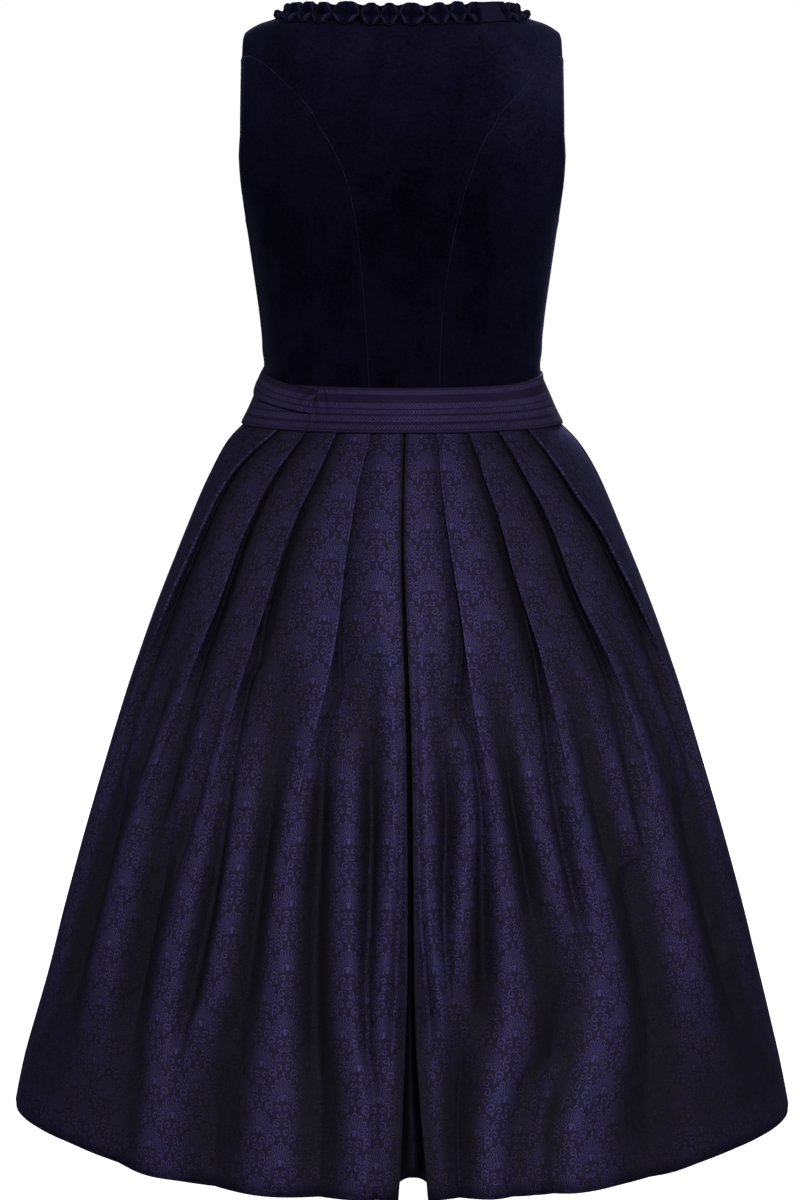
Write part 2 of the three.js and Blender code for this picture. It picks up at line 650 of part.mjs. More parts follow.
function strip(ring, from, to, cells, heights, thickness, out) {
  const turns = steps(cells).map((t) => THREE.MathUtils.degToRad(mix(from, to, t)));
  const layer = (extra) => heights.map((height, j) => turns.map((turn, i) =>
    roundPoint(ring, turn, typeof height === 'function' ? height(i / cells) : height,
      out(i / cells, j / (heights.length - 1)) + extra)));
  return wall([layer(0)], [layer(-thickness)]);
}

// Where the band's seams lie round the waist, in degrees from the centre back, and half a seam's gap.
const BAND_END = -36;
const BAND_SIDE = 104;
const SEAM_TURN = 0.09;
const bandHeights = BAND.map((row) => row.z);

function bandPiece(from, to, cells) {
  return strip(band, from, to, cells, bandHeights, RIBBON, () => 0);
}

// The end of the tie, folded narrower, comes out over the band and rises towards the left side.
function tieStrip() {
  const bottom = (t) => mix(TIE.bottom, TIE.bottom + TIE.rise, t);
  const top = (t) => bottom(t) + TIE.width;
  const middle = (t) => bottom(t) + TIE.width / 2;
  return strip(band, TIE.from, TIE.to, 12, [bottom, middle, top], RIBBON, () => RIBBON + SEAM);
}

function apronPanel() {
  const heights = APRON.map((row) => row.z);
  const wave = (t, v) => {
    const z = heights[Math.round(v * (heights.length - 1))];
    return apronRing.wave(z) * (0.5 - 0.5 * Math.cos(t * APRON_FOLDS * 2 * Math.PI));
  };
  return strip(apronRing, BAND_SIDE, 360 - BAND_SIDE, APRON_FOLDS * 6, heights, APRON_CLOTH, wave);
}

// The surface that the bow lies on: the band, and below it the crests of the apron's folds.
const DRAPE = [
  ...APRON.map(({ z, half, back, front, wave }) => ({ z, half: half + wave, back, front: front + wave })),
  ...BAND.map((row) => (row.z === BAND_BOTTOM ? { ...row, z: BAND_BOTTOM + 3 } : row)),
];
const drape = columns(DRAPE, 'z', ['half', 'back', 'front']);

// A spot beside the knot: along the band, up or down, and out from the drape.
function bowPoint(along, z, out) {
  const radius = mix(drape.half(z), drape.front(z), 0.5);
  return roundPoint(drape, THREE.MathUtils.degToRad(BOW.turn) + along / radius, z, out);
}

// One loop, a ribbon bent back on itself. Its edges run level and its end hangs a little.
function bowLoop(hand) {
  const bend = steps(60).map((t) => mix(0.004, 1.996, t) * RIGHT_ANGLE).map((half) => [
    BOW.knotHalf - 2.6 + BOW.loop * Math.sin(half) ** 0.6,
    BOW.stand + 5 * signedPower(-Math.cos(half), 0.7) + 3 * Math.max(0, -Math.sin(2 * half)),
  ]);
  const outline = evenly(bend, 18).map(([along, out]) => new THREE.Vector2(along, out));
  const inner = inset(outline, -1, RIBBON, false);
  const lay = (line) => [-1, 0, 1].map((v) => line.map(({ x, y }) => {
    const share = THREE.MathUtils.smoothstep(x, BOW.knotHalf, BOW.knotHalf + 28);
    const z = BOW.height + v * mix(BOW.knotHeight - 3, BOW.ribbonHalf, share) - 8 * (x / BOW.loop) ** 2;
    return bowPoint(hand * x, z, y);
  }));
  return wall([lay(outline)], [lay(inner)]);
}

// One tail, hanging from the knot over the apron, cut aslant at its end.
function bowTail(hand) {
  const rows = 7;
  const start = BOW.height - BOW.knotHeight - 0.8;
  const lay = (thickness) => steps(rows).map((t) => steps(2).map((u) => {
    const spread = Math.min(1, t * rows / 2);
    const width = mix(13, 2 * BOW.ribbonHalf, spread);
    const near = mix(0.5, 7, t);
    const z = start - t * (BOW.tail + hand * 14 + (u - 0.5) * 26 * t);
    return bowPoint(hand * (near + u * width), z, 1 + 2.4 * spread * Math.sin(t * 7 + hand) ** 2 + thickness);
  }));
  return wall([lay(RIBBON)], [lay(0)]);
}

function bowKnot() {
  const knot = new THREE.SphereGeometry(1, 14, 10);
  knot.rotateX(RIGHT_ANGLE);
  const place = knot.getAttribute('position');
  const points = Array.from({ length: place.count }, (_, i) => {
    const p = new THREE.Vector3().fromBufferAttribute(place, i);
    const out = BOW.rest + (1 + signedPower(p.y, 0.7)) * BOW.stand;
    const along = signedPower(p.x, 0.7) * BOW.knotHalf;
    return bowPoint(along, BOW.height + signedPower(p.z, 0.7) * BOW.knotHeight, out);
  });
  return solid(points, [...knot.getIndex().array]);
}

// ---- assembly ------------------------------------------------------------------------------------------------
add('bodice_back', bodiceBack(), velvet);
for (const { side, hand } of HANDS) {
  add(`bodice_side_back_${side}`, bodiceSide(BACK, side, hand), velvet);
  add(`bodice_side_front_${side}`, bodiceSide(FRONT, side, hand), velvet);
  add(`bodice_front_${side}`, bodiceFront(side, hand), velvet);
}

const backNeck = steps(160).map((t) => backNeckPoint(mix(-1, 1, t)));
add('neck_trim_back', neckTrim(BACK, puffedPath(BACK, backNeck), 0), trimming);
for (const { side, hand } of HANDS) {
  const path = puffedPath(FRONT, mirrored(frontNeckPath(), hand));
  add(`neck_trim_front_${side}`, neckTrim(FRONT, path, hand * SEAM / 2), trimming);
}

add('skirt_back', skirtPanel(BACK, backSection), damask);
add('skirt_front', skirtPanel(FRONT, frontSection), damask);
add('band_back', bandPiece(BAND_END, BAND_SIDE - SEAM_TURN, 28), stripedRibbon);
add('band_left', bandPiece(-BAND_SIDE + SEAM_TURN, BAND_END - 2 * SEAM_TURN, 14), stripedRibbon);
add('band_front', bandPiece(BAND_SIDE + SEAM_TURN, 360 - BAND_SIDE - SEAM_TURN, 30), stripedRibbon);
add('tie_strip', tieStrip(), stripedRibbon);
add('apron', apronPanel(), apronSatin);
add('bow_knot', bowKnot(), stripedRibbon);
for (const { side, hand } of HANDS) {
  add(`bow_loop_${side}`, bowLoop(-hand), stripedRibbon);
  add(`bow_tail_${side}`, bowTail(-hand), stripedRibbon);
}

export default dirndl;
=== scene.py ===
"""The looks of a sleeveless dirndl in its worn, hollow form.

Sizes are millimetres until a mesh is made. x runs to the wearer's right, y to the front and z up from
the height of the shoulders, with the middle of the body at x = y = 0.
"""
import math

import bmesh
import bpy
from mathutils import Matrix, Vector


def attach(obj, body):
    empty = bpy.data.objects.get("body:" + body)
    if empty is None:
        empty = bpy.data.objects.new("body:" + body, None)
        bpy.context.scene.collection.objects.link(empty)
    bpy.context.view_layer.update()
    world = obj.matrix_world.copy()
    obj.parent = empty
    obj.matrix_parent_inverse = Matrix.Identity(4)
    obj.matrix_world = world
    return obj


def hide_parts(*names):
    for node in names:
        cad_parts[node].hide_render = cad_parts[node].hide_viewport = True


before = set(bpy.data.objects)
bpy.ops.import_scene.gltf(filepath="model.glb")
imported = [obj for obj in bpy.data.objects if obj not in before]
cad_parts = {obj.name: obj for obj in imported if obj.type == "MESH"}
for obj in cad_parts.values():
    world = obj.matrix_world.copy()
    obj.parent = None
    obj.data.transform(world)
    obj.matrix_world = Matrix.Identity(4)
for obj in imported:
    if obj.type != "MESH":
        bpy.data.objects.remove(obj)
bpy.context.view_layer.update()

MM = 0.001
QUARTER = math.pi / 2
RADIAN = 57.3  # in degrees
BACK, FRONT = -1, 1
FACES = {BACK: "back", FRONT: "front"}
HANDS = (("left", -1), ("right", 1))


# ---- small tools ----
def mix(a, b, t):
    return a + (b - a) * t


def clamp(value, low=0.0, high=1.0):
    return max(low, min(high, value))


def smooth(low, high, value):
    """0 at low and beyond, 1 at high and beyond, with a smooth run between. low may be the greater."""
    t = clamp((value - low) / (high - low))
    return t * t * (3 - 2 * t)


def signed_power(value, power):
    """A power of the size of a value, with its sign kept."""
    return math.copysign(abs(value) ** power, value)


def steps(count):
    """Even shares from 0 to 1."""
    return [i / count for i in range(count + 1)]


def bell(distance, width):
    """1 at no distance, falling away over about the given width."""
    return math.exp(-((distance / width) ** 2))


class Table:
    """Named columns of sizes. Between its rows each column follows a smooth curve."""

    def __init__(self, names, rows):
        rows = sorted(rows)
        self.at = [row[0] for row in rows]
        self.columns = {}
        for place, name in enumerate(names.split()[1:], 1):
            y = [row[place] for row in rows]
            chord = [(y[i + 1] - y[i]) / (self.at[i + 1] - self.at[i]) for i in range(len(rows) - 1)]
            before, after = [chord[0], *chord], [*chord, chord[-1]]
            slope = [2 * a * b / (a + b) if a * b > 0 else 0 for a, b in zip(before, after)]
            self.columns[name] = (y, slope)

    def __call__(self, name, at):
        y, slope = self.columns[name]
        x = self.at
        at = clamp(at, x[0], x[-1])
        i = 0
        while i < len(x) - 2 and at > x[i + 1]:
            i += 1
        width = x[i + 1] - x[i]
        t = (at - x[i]) / width
        s = 1 - t
        ends = y[i] * s * s * (1 + 2 * t) + y[i + 1] * t * t * (1 + 2 * s)
        return ends + width * t * s * (slope[i] * s - slope[i + 1] * t)


def evenly(path, count):
    """The same path with its points evenly spaced."""
    run = [0]
    for a, b in zip(path, path[1:]):
        run.append(run[-1] + math.dist(a, b))
    found = []
    i = 1
    for share in steps(count):
        target = share * run[-1]
        while i < len(path) - 1 and run[i] < target:
            i += 1
        t = (target - run[i - 1]) / (run[i] - run[i - 1])
        found.append([mix(a, b, t) for a, b in zip(path[i - 1], path[i])])
    return found


def run_along(points):
    """How far along a line of vectors each one is."""
    run = [0]
    for a, b in zip(points, points[1:]):
        run.append(run[-1] + (a - b).length)
    return run


def run_up(table, name, levels):
    """How far up the cloth each level is from the first, along one profile of a table."""
    run = [0]
    for a, b in zip(levels, levels[1:]):
        run.append(run[-1] + math.hypot(b - a, table(name, b) - table(name, a)))
    return run


# ---- sizes ----
WAIST = -352
BAND_TOP, BAND_BOTTOM = -336, -377
SKIRT_TOP, HEM = -352.4, -1037
APRON_TOP, APRON_HEM = -377.4, -1011
RIBBON_WIDE = 41
HEM_STITCH = 28

# Up to BLADE a level on the bodice is a height. From there the levels follow an arch to the shoulder's
# ridge, where back and front meet. Its "square" power, like the others here, is 2 for an ellipse and
# greater for a squarer curve.
BLADE, ARCH_RUN, ARCH_SQUARE = -100, 130, 2.4
SHOULDER = BLADE + ARCH_RUN
NECK_HALF, NECK_BACK, NECK_SQUARE = 106, 92, 2.5
UNDERARM = -190

# Where the princess seams end on the armhole: their level and how far across.
PRINCESS_TOP = {BACK: -31, FRONT: -115}
PRINCESS_END = {BACK: 147.3, FRONT: 135}

# Half the width of the bodice, its depth to the back and to the front, and its power, by levels.
FIGURE = Table("level half back front square", [
    (-352, 130.0, 99.5, 98.0, 2.00),
    (-330, 129.1, 98.5, 97.5, 2.00),
    (-310, 129.7, 98.0, 98.5, 2.05),
    (-282, 132.0, 99.0, 103.0, 2.12),
    (-244, 137.0, 101.0, 114.0, 2.22),
    (-216, 141.0, 103.0, 124.0, 2.29),
    (-190, 145.5, 105.0, 130.0, 2.34),
    (-175, 150.5, 106.5, 130.5, 2.36),
    (-150, 157.0, 108.5, 127.5, 2.38),
    (-125, 161.0, 109.7, 121.0, 2.40),
    (-100, 163.0, 110.0, 115.5, 2.40),
    (-60, 163.0, 110.0, 108.5, 2.40),
    (30, 163.0, 110.0, 102.0, 2.40),
])

# The height of the shoulder's ridge, by the distance across.
RIDGE = Table("across height", [
    (0, 59.5), (40, 54), (80, 29), (95, 14.8), (103, 5), (106, 2), (110, -0.5), (119, -4), (130, -7.5),
    (139, -12), (144, -16), (149, -22),
])

# How far from the centre the princess seams run.
BACK_PRINCESS = Table("level left right", [
    (-352, 29.5, 34),
    (-290, 32.5, 35.5),
    (-242, 36, 40),
    (-204, 39.5, 46),
    (-157, 47.5, 57),
    (-135, 55, 65),
    (-112, 66.5, 74.5),
    (-100, 75, 83),
    (-83, 96, 104),
    (-62, 116.5, 122),
    (-31, 147.3, 147.3),
])
FRONT_PRINCESS = Table("level left right", [
    (-352, 42, 42), (-300, 48, 48), (-250, 58, 58), (-205, 70, 70), (-165, 86, 86), (-135, 109, 109),
    (-115, 135, 135),
])

# The edge of the armhole: below ARMHOLE_CHANGE how far it lies to the back or front, above it how far across.
ARMHOLE_CHANGE = -115
ARMHOLE_REACH = Table("level back front", [
    (-190, 0, 0), (-186.5, 19, 26), (-177, 32, 46), (-161, 41.5, 61), (-138, 49, 71.5), (-115, 53, 76.5),
])
ARMHOLE_ACROSS = Table("level back front", [
    (-100, 148.4, 135.5), (-70, 147.6, 137.5), (-31, 147.3, 142), (30, 147, 147),
])

# The front neckline, spot by spot from the centre to the shoulder.
NECKLINE_SPOTS = 8
FRONT_NECKLINE = Table("order across level", [
    (0, 0, -147), (1, 32, -144), (2, 62, -136), (3, 84, -121), (4, 96, -98), (5, 101, -68), (6, 104, -34),
    (7, 105.6, 0), (NECKLINE_SPOTS, 106, 30),
])

# Half the width of the skirt, its depths and the height of its folds. The slit lies at the centre back, a
# little to the right: gap is half its width, slit its distance from the middle, and recess how far in the
# cloth behind it lies.
SKIRT = Table("z half back front fold gap slit recess", [
    (-1037, 368.4, 300, 296, 5.5, 13, 9.6, 36),
    (-1010, 363.5, 295.5, 291.5, 6, 11, 9.4, 35),
    (-954, 350, 282.5, 279.8, 7.5, 7.4, 8, 32),
    (-900, 336, 270, 268, 9, 4.6, 7.4, 28),
    (-840, 321, 258, 256.5, 9.6, 2.8, 7.6, 25),
    (-760, 299.5, 241, 240, 9.6, 2.4, 7.2, 22),
    (-640, 264.8, 214, 213, 8.6, 2.1, 5.6, 16),
    (-590, 248, 202, 200, 7.6, 1.9, 4, 14),
    (-540, 230, 189, 187, 6.4, 1.7, 2, 12),
    (-470, 202, 162, 158, 4.6, 1.3, 0.2, 9),
    (-425, 181.5, 140, 135, 3.4, 1, 0.6, 6),
    (-397, 164.6, 124, 119, 2.4, 1, 1.4, 4),
    (-384, 153.5, 114.5, 111, 1.9, 0.9, 1.8, 2.4),
    (-377, 146.6, 108.3, 106.2, 1.6, 0.8, 2, 1.9),
    (SKIRT_TOP, 133.6, 101.6, 100.2, 1.2, 0.8, 2, 1.6),
])

# Where the back skirt's folds run, in degrees from the centre back. e1 to e4 are the edges of the laid
# pleats, c1 and c2 the soft ridges beside the centre, and m1 to m3 the soft ridges between the edges.
FOLDS = {
    "left": Table("z c1 c2 e1 m1 e2 m2 e3 m3 e4", [
        (-1037, 2, 5, 18.4, 30, 36.5, 46, 53, 66, 79),
        (-954, 2.5, 5.3, 18.8, 33.5, 37.5, 46, 54, 66, 79),
        (-911, 3.2, 7, 19.1, 33, 38.6, 47, 55, 66, 79),
        (-868, 3, 8, 19.4, 31, 39, 47, 55, 67, 79),
        (-781, 2, 9, 19.9, 30, 38, 47, 55, 68, 78),
        (-694, 1.2, 10, 18.8, 30, 37, 44, 53.6, 66, 75),
        (-607, 2, 11, 15.8, 29.5, 35, 42, 50, 65, 72),
        (-563, 3.2, 10.5, 14.5, 28, 33.6, 41, 48, 62.5, 70.5),
        (-530, 5.6, 10.4, 14, 26, 32.3, 40, 46.3, 61, 69),
        (-500, 6.2, 10, 14, 24.5, 31.5, 38.5, 45.6, 58, 67.5),
        (-470, 6.6, 10, 13.6, 22.5, 30.2, 37.5, 44.7, 56, 66),
        (-440, 7, 10, 13.1, 21.5, 28.3, 36, 43, 54, 64.5),
        (-415, 7.4, 9.8, 12.5, 20, 25.8, 33, 40.6, 51, 61),
        (-377, 7.4, 9.2, 11.1, 17.5, 23.9, 30, 36.3, 44, 51),
        (-352, 7.2, 9, 10.9, 17, 23.5, 29.5, 35.5, 42.5, 49),
    ]),
    "right": Table("z c1 c2 e1 m1 e2 m2 e3 m3 e4", [
        (-1037, 5.6, 8, 12.6, 18.5, 24.6, 38, 51, 66, 79),
        (-989, 5.8, 8.3, 13, 19, 25.6, 38, 51, 66, 79),
        (-954, 6, 8.8, 14.2, 20.5, 28, 39, 52, 66, 79),
        (-911, 6.4, 8.9, 16, 25, 32, 42, 52, 66, 79),
        (-868, 5.8, 8.7, 17, 28.6, 33.4, 43.5, 51, 66, 79),
        (-781, 4.2, 10, 17, 27, 33.2, 45, 51, 67, 78),
        (-694, 4, 12, 16, 25.2, 32, 44, 52, 67, 76),
        (-607, 4, 10, 14, 24.8, 31, 42, 50.4, 62.5, 73),
        (-563, 4, 9.5, 13.4, 23.5, 30, 39.5, 47.4, 60, 70.5),
        (-530, 4, 9.2, 13, 22, 28.7, 38, 44.7, 59, 68),
        (-500, 3.8, 9, 12.5, 20.5, 27.5, 36.5, 43.3, 59, 65.5),
        (-470, 3.4, 8.8, 11.9, 19.5, 26.8, 35.5, 42.6, 57, 63),
        (-440, 3.2, 8.4, 11.4, 18.5, 25.9, 34, 40.8, 52, 57.8),
        (-415, 3.6, 8, 11.3, 18.3, 24.6, 32, 38.6, 48, 54.8),
        (-377, 4, 8.2, 12.4, 18.3, 24.3, 30.5, 36.6, 45, 51.6),
        (-352, 4, 8.2, 12.4, 18.3, 24.3, 30.5, 36.6, 44, 50.5),
    ]),
}

# How strongly each soft ridge stands out, and e3 where it melts away towards the hem.
RIDGES = {
    "left": Table("z c1 c2 m1 m2 m3 e3", [
        (-1037, 0, 1, 0, 0, 0, 0), (-954, 0, 1, 0.35, 0, 0, 0.1), (-911, 0.7, 1, 0.8, 0, 0, 0.6),
        (-868, 1, 1, 0.9, 0, 0, 1), (-781, 1, 1, 1, 0.1, 0, 1), (-738, 1, 1, 1, 0.4, 0.1, 1),
        (-694, 1, 0.9, 0.9, 0.7, 0.4, 1), (-607, 1, 0.3, 0.6, 0.7, 0.9, 1), (-563, 1, 0, 0.1, 0.5, 0.8, 1),
        (-520, 1, 0, 0, 0.2, 0.7, 1), (-480, 0.9, 0, 0, 0, 0, 1), (-352, 0.5, 0, 0, 0, 0, 1),
    ]),
    "right": Table("z c1 c2 m1 m2 m3 e3", [
        (-1037, 0, 0, 0.5, 0, 0, 0), (-954, 0.1, 0, 0.4, 0, 0, 0.1), (-911, 0.4, 0.2, 0, 0, 0, 0.5),
        (-868, 1, 0.6, 0.2, 0, 0, 0.9), (-781, 1, 1, 0.9, 0.1, 0, 1), (-738, 1, 1, 1, 0.7, 0.1, 1),
        (-694, 1, 0.9, 1, 0.8, 0.4, 1), (-607, 1, 0.2, 0.8, 0.7, 0.9, 1), (-563, 1, 0.3, 0.4, 0.5, 1, 1),
        (-520, 1, 0.7, 0, 0.2, 0.9, 1), (-480, 0.9, 0.7, 0, 0, 0.5, 1), (-352, 0.5, 0.6, 0, 0, 0, 1),
    ]),
}

# How the laid pleats open: under is how far the cloth runs on beneath the next edge, and open goes from 0,
# where the pleats lie crisp over each other, to 1, where they have opened into soft waves.
OPENING = Table("z under open", [
    (-1037, 0, 1), (-760, 0, 1), (-700, 0, 0.88), (-650, 0.3, 0.7), (-607, 1.4, 0.45), (-563, 3.6, 0.15),
    (-520, 5, 0), (-430, 4.5, 0), (-377, 3, 0), (-352, 3, 0),
])

# Sharp pressed lines on the sides of the back skirt, where they run in degrees and how strong they are. The
# right one is two lines, with a break at -645.
PRESSED = {
    "left": Table("z angle strength", [
        (-1000, 64, 0), (-950, 66.2, 0.5), (-907, 69.8, 0.9), (-870, 74.6, 1), (-850, 77.5, 1),
        (-824, 76.6, 1), (-775, 78.8, 0.9), (-740, 80, 0),
    ]),
    "right": Table("z angle strength", [
        (-905, 69, 0), (-861, 67.9, 0.7), (-844, 66.6, 1), (-803, 62.8, 1), (-772, 61.2, 0.9),
        (-695, 57.6, 0.8), (-650, 56, 0), (-640, 70, 0), (-560, 71, 0.8), (-490, 73, 1), (-450, 78, 0.8),
        (-420, 82, 0),
    ]),
}

# How far the hem hangs above its plain level, by degrees from the centre back.
HEM_LIFT = Table("degrees left right", [
    (0, -4, -4), (20, -4, -4), (26, -2.5, -4), (33, 1, -2), (40, 2.5, -1), (48, 9, 4.5), (58, 13.5, 8),
    (90, 15, 10),
])

# The band's and the apron's plain rings. wave is the height of the apron's folds.
BAND = Table("z half back front", [
    (BAND_BOTTOM, 150.6, 112, 110),
    (-364, 143.6, 107.6, 106),
    (-350, 137.4, 104.6, 103.2),
    (BAND_TOP, 131.5, 101.4, 100.2),
])
APRON = Table("z half back front wave", [
    (APRON_HEM, 371.5, 300, 300, 9),
    (-900, 347, 270, 281, 9),
    (-760, 311.5, 241, 253.5, 8),
    (-640, 276.5, 214, 226, 7),
    (-540, 240.5, 189, 199, 5.5),
    (-470, 211.5, 162, 169, 4),
    (-425, 190, 140, 144.5, 2.6),
    (-397, 171.5, 124, 126, 1.6),
    (APRON_TOP, 151.5, 112, 110.5, 0.8),
])


# ---- cloth pieces ----
def cloth(name, node, finish, grids, thickness):
    """A cloth shell of one or more grids. A grid is rows of (point in mm, cloth place in mm, marks)."""
    mesh = bmesh.new()
    uv = mesh.loops.layers.uv.new("cloth")
    marks = mesh.verts.layers.float_color.new("marks")
    for grid in grids:
        rows, columns = len(grid) - 1, len(grid[0]) - 1
        made = bmesh.ops.create_grid(mesh, x_segments=columns, y_segments=rows, size=0.5)["verts"]
        places = {}
        for vertex in made:
            i, j = round((vertex.co.x + 0.5) * columns), round((vertex.co.y + 0.5) * rows)
            point, place, mark = grid[j][i]
            vertex.co = Vector(point) * MM
            vertex[marks] = (*mark, 1)
            places[vertex] = (place[0] * MM, place[1] * MM)
        for face in {face for vertex in made for face in vertex.link_faces}:
            for loop in face.loops:
                loop[uv].uv = places[loop.vert]
    bmesh.ops.remove_doubles(mesh, verts=mesh.verts, dist=2e-6)
    bmesh.ops.recalc_face_normals(mesh, faces=mesh.faces)
    outward = 0
    for face in mesh.faces:
        middle = face.calc_center_median()
        outward += (face.normal.x * middle.x + face.normal.y * middle.y) * face.calc_area()
    if outward < 0:
        bmesh.ops.reverse_faces(mesh, faces=mesh.faces)
    for face in mesh.faces:
        face.smooth = True
    return finished(name, mesh, [node], finish, thickness)


def finished(name, mesh, nodes, finish, thickness=0):
    """A piece from its mesh, with a cloth wall grown inwards where a thickness is given."""
    data = bpy.data.meshes.new(name)
    mesh.to_mesh(data)
    mesh.free()
    piece = bpy.data.objects.new(name, data)
    bpy.context.scene.collection.objects.link(piece)
    data.materials.append(finish)
    if thickness:
        wall = piece.modifiers.new("cloth_thickness", "SOLIDIFY")
        wall.thickness = thickness * MM
        wall.offset = -1
    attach(piece, "root")
    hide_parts(*nodes)
    return piece


# ---- shader maths ----
class Value:
    """A shader socket that takes Python's arithmetic. Each operation adds its Math node."""

    def __init__(self, finish, link):
        self.finish, self.link = finish, link

    def math(self, operation, *values):
        return self.finish.node("ShaderNodeMath", {"operation": operation}, values)

    def __add__(self, other):
        return self.math("ADD", self, other)

    def __sub__(self, other):
        return self.math("SUBTRACT", self, other)

    def __rsub__(self, other):
        return self.math("SUBTRACT", other, self)

    def __mul__(self, other):
        return self.math("MULTIPLY", self, other)

    def __truediv__(self, other):
        return self.math("DIVIDE", self, other)

    def __rtruediv__(self, other):
        return self.math("DIVIDE", other, self)

    def __pow__(self, other):
        return self.math("POWER", self, other)

    def __abs__(self):
        return self.math("ABSOLUTE", self)

    __radd__, __rmul__ = __add__, __mul__

    def cos(self):
        return self.math("COSINE", self)

    def fract(self):
        return self.math("FRACT", self)

    def either(self, other):
        return self.math("MAXIMUM", self, other)

    def rise(self, low, high):
        """0 below low and 1 above high, with a smooth run between. low may be the greater."""
        return self.finish.node("ShaderNodeMapRange", {"interpolation_type": "SMOOTHSTEP"},
                                {"Value": self, "From Min": low, "From Max": high})


class Finish:
    """A material and the nodes that make it."""

    def __init__(self, name):
        self.material = bpy.data.materials.new(name)
        self.material.use_nodes = True
        self.tree = self.material.node_tree
        self.tree.nodes.clear()

    def node(self, kind, settings=None, values=(), output=0):
        made = self.tree.nodes.new(kind)
        for name, value in (settings or {}).items():
            setattr(made, name, value)
        pairs = values.items() if isinstance(values, dict) else enumerate(values)
        for socket, value in pairs:
            if isinstance(value, Value):
                self.tree.links.new(value.link, made.inputs[socket])
            else:
                made.inputs[socket].default_value = value
        return Value(self, made.outputs[output]) if made.outputs else None

    def parts(self, vector):
        """x, y and z of a vector."""
        return [self.node("ShaderNodeSeparateXYZ", values=[vector], output=i) for i in range(3)]

    def cloth_place(self):
        """Across and along the cloth, in millimetres."""
        across, along, _ = self.parts(self.node("ShaderNodeUVMap", {"uv_map": "cloth"}))
        return across * 1000, along * 1000

    def marks(self):
        """The three values that a piece's marks hold."""
        color = self.node("ShaderNodeAttribute", {"attribute_name": "marks"})
        return [self.node("ShaderNodeSeparateColor", values=[color], output=i) for i in range(3)]

    def here(self):
        """The place on the piece, in metres."""
        return self.node("ShaderNodeTexCoord", output=3)

    def noise(self, scale, vector=None, detail=2.0, roughness=0.5, stretch=(1, 1, 1)):
        place = self.node("ShaderNodeMapping", values={"Vector": vector or self.here(), "Scale": stretch})
        return self.node("ShaderNodeTexNoise", values={
            "Vector": place, "Scale": scale, "Detail": detail, "Roughness": roughness})

    def blend(self, share, first, second):
        """From the first colour to the second."""
        return self.node("ShaderNodeMix", {"data_type": "RGBA", "clamp_factor": True},
                         {0: share, 6: first, 7: second}, output=2)

    def tinted(self, color, strength):
        """A colour made lighter or darker by a value."""
        gray = self.node("ShaderNodeCombineColor", values=[strength, strength, strength])
        settings = {"data_type": "RGBA", "blend_type": "MULTIPLY", "clamp_factor": True}
        return self.node("ShaderNodeMix", settings, {0: 1.0, 6: color, 7: gray}, output=2)

    def turn_of(self, x, y):
        """The angle of a point in radians."""
        return self.node("ShaderNodeMath", {"operation": "ARCTAN2"}, [y, x])

    def threads(self, across, along, layer, detail=2):
        """Noise on the cloth, stretched by how fast it runs across and along."""
        place = self.node("ShaderNodeCombineXYZ", values=[across, along, layer])
        return self.noise(1, place, detail=detail)

    def bump(self, height, distance, strength):
        values = {"Height": height, "Distance": distance, "Strength": strength}
        return self.node("ShaderNodeBump", values=values)

    def close(self, **values):
        """Joins the surface up, with its inputs given by name."""
        names = {key.replace("_", " ").title().replace("Ior", "IOR"): value for key, value in values.items()}
        surface = self.node("ShaderNodeBsdfPrincipled", values=names)
        self.node("ShaderNodeOutputMaterial", values=[surface])
        return self.material


def tone(red, green, blue):
    return (red, green, blue, 1)


def strongest(first, *others):
    for other in others:
        first = first.either(other)
    return first


def velvet():
    f = Finish("navy_velvet")
    # The first two marks carry painted highlights: along each seam, and on the cloth just beside it.
    seam, pressed, _ = f.marks()
    side, _, height = f.parts(f.here())
    nap = f.noise(7, detail=3, roughness=0.6, stretch=(1, 1, 0.8))
    pile = f.noise(330, detail=3, roughness=0.75, stretch=(0.9, 0.9, 1.2))
    bruise = f.noise(34, detail=5, roughness=0.72, stretch=(1, 1, 0.7))
    # Painted light: the velvet is made lighter towards the top and towards the wearer's right, as if lit from
    # above and from that side.
    painted_top_right_light = 1 + height.rise(-0.2, -0.03) * (0.95 + side.rise(0.03, 0.14) * 1.25)
    painted_top_right_light = painted_top_right_light + side.rise(0.06, 0.125) * 0.6
    strength = (nap.rise(0.3, 0.75) * 0.4 + (bruise - 0.5) * 1.1 + pile * 1.15).either(0.1) * painted_top_right_light
    # pressed lightens the cloth just beside each seam as a painted highlight.
    ground = f.tinted(tone(0.0042, 0.0035, 0.0105), strength + pressed * 0.15)
    # A painted highlight along each seam, stronger towards the top.
    line = seam.rise(0.45, 1.0) * (0.32 + height.rise(-0.25, -0.05) * 0.38) * bruise.rise(0.25, 0.6)
    color = f.blend(line, ground, tone(0.031, 0.029, 0.060))
    relief = pile * 0.5 + bruise * 0.5
    return f.close(base_color=color, roughness=0.92, specular_ior_level=0.0, sheen_weight=0.16,
                   sheen_roughness=0.35, sheen_tint=tone(0.28, 0.29, 0.6), normal=f.bump(relief, 0.0007, 0.6))


def ruched_velvet():
    f = Finish("ruched_ribbon")
    fold, edge, _ = f.marks()
    weave = f.noise(900, detail=2)
    slub = f.noise(70, detail=3)
    # Painted light: fold darkens the low places between the puffs as painted shade, and edge lightens the
    # folded edges as a painted highlight.
    strength = 0.25 + fold * 0.85 + (slub - 0.5) * 0.7 + (weave - 0.5) * 0.4
    ground = f.tinted(tone(0.0068, 0.0058, 0.0180), strength)
    color = f.blend(edge * 0.9, ground, tone(0.029, 0.026, 0.058))
    return f.close(base_color=color, roughness=0.8, specular_ior_level=0.0, sheen_weight=0.04,
                   sheen_roughness=0.4, sheen_tint=tone(0.25, 0.23, 0.7), normal=f.bump(weave, 0.0002, 0.5))


PALMETTE_WIDE, PALMETTE_TALL = 44, 57
PETAL = 0.36  # radians between two of its lobes


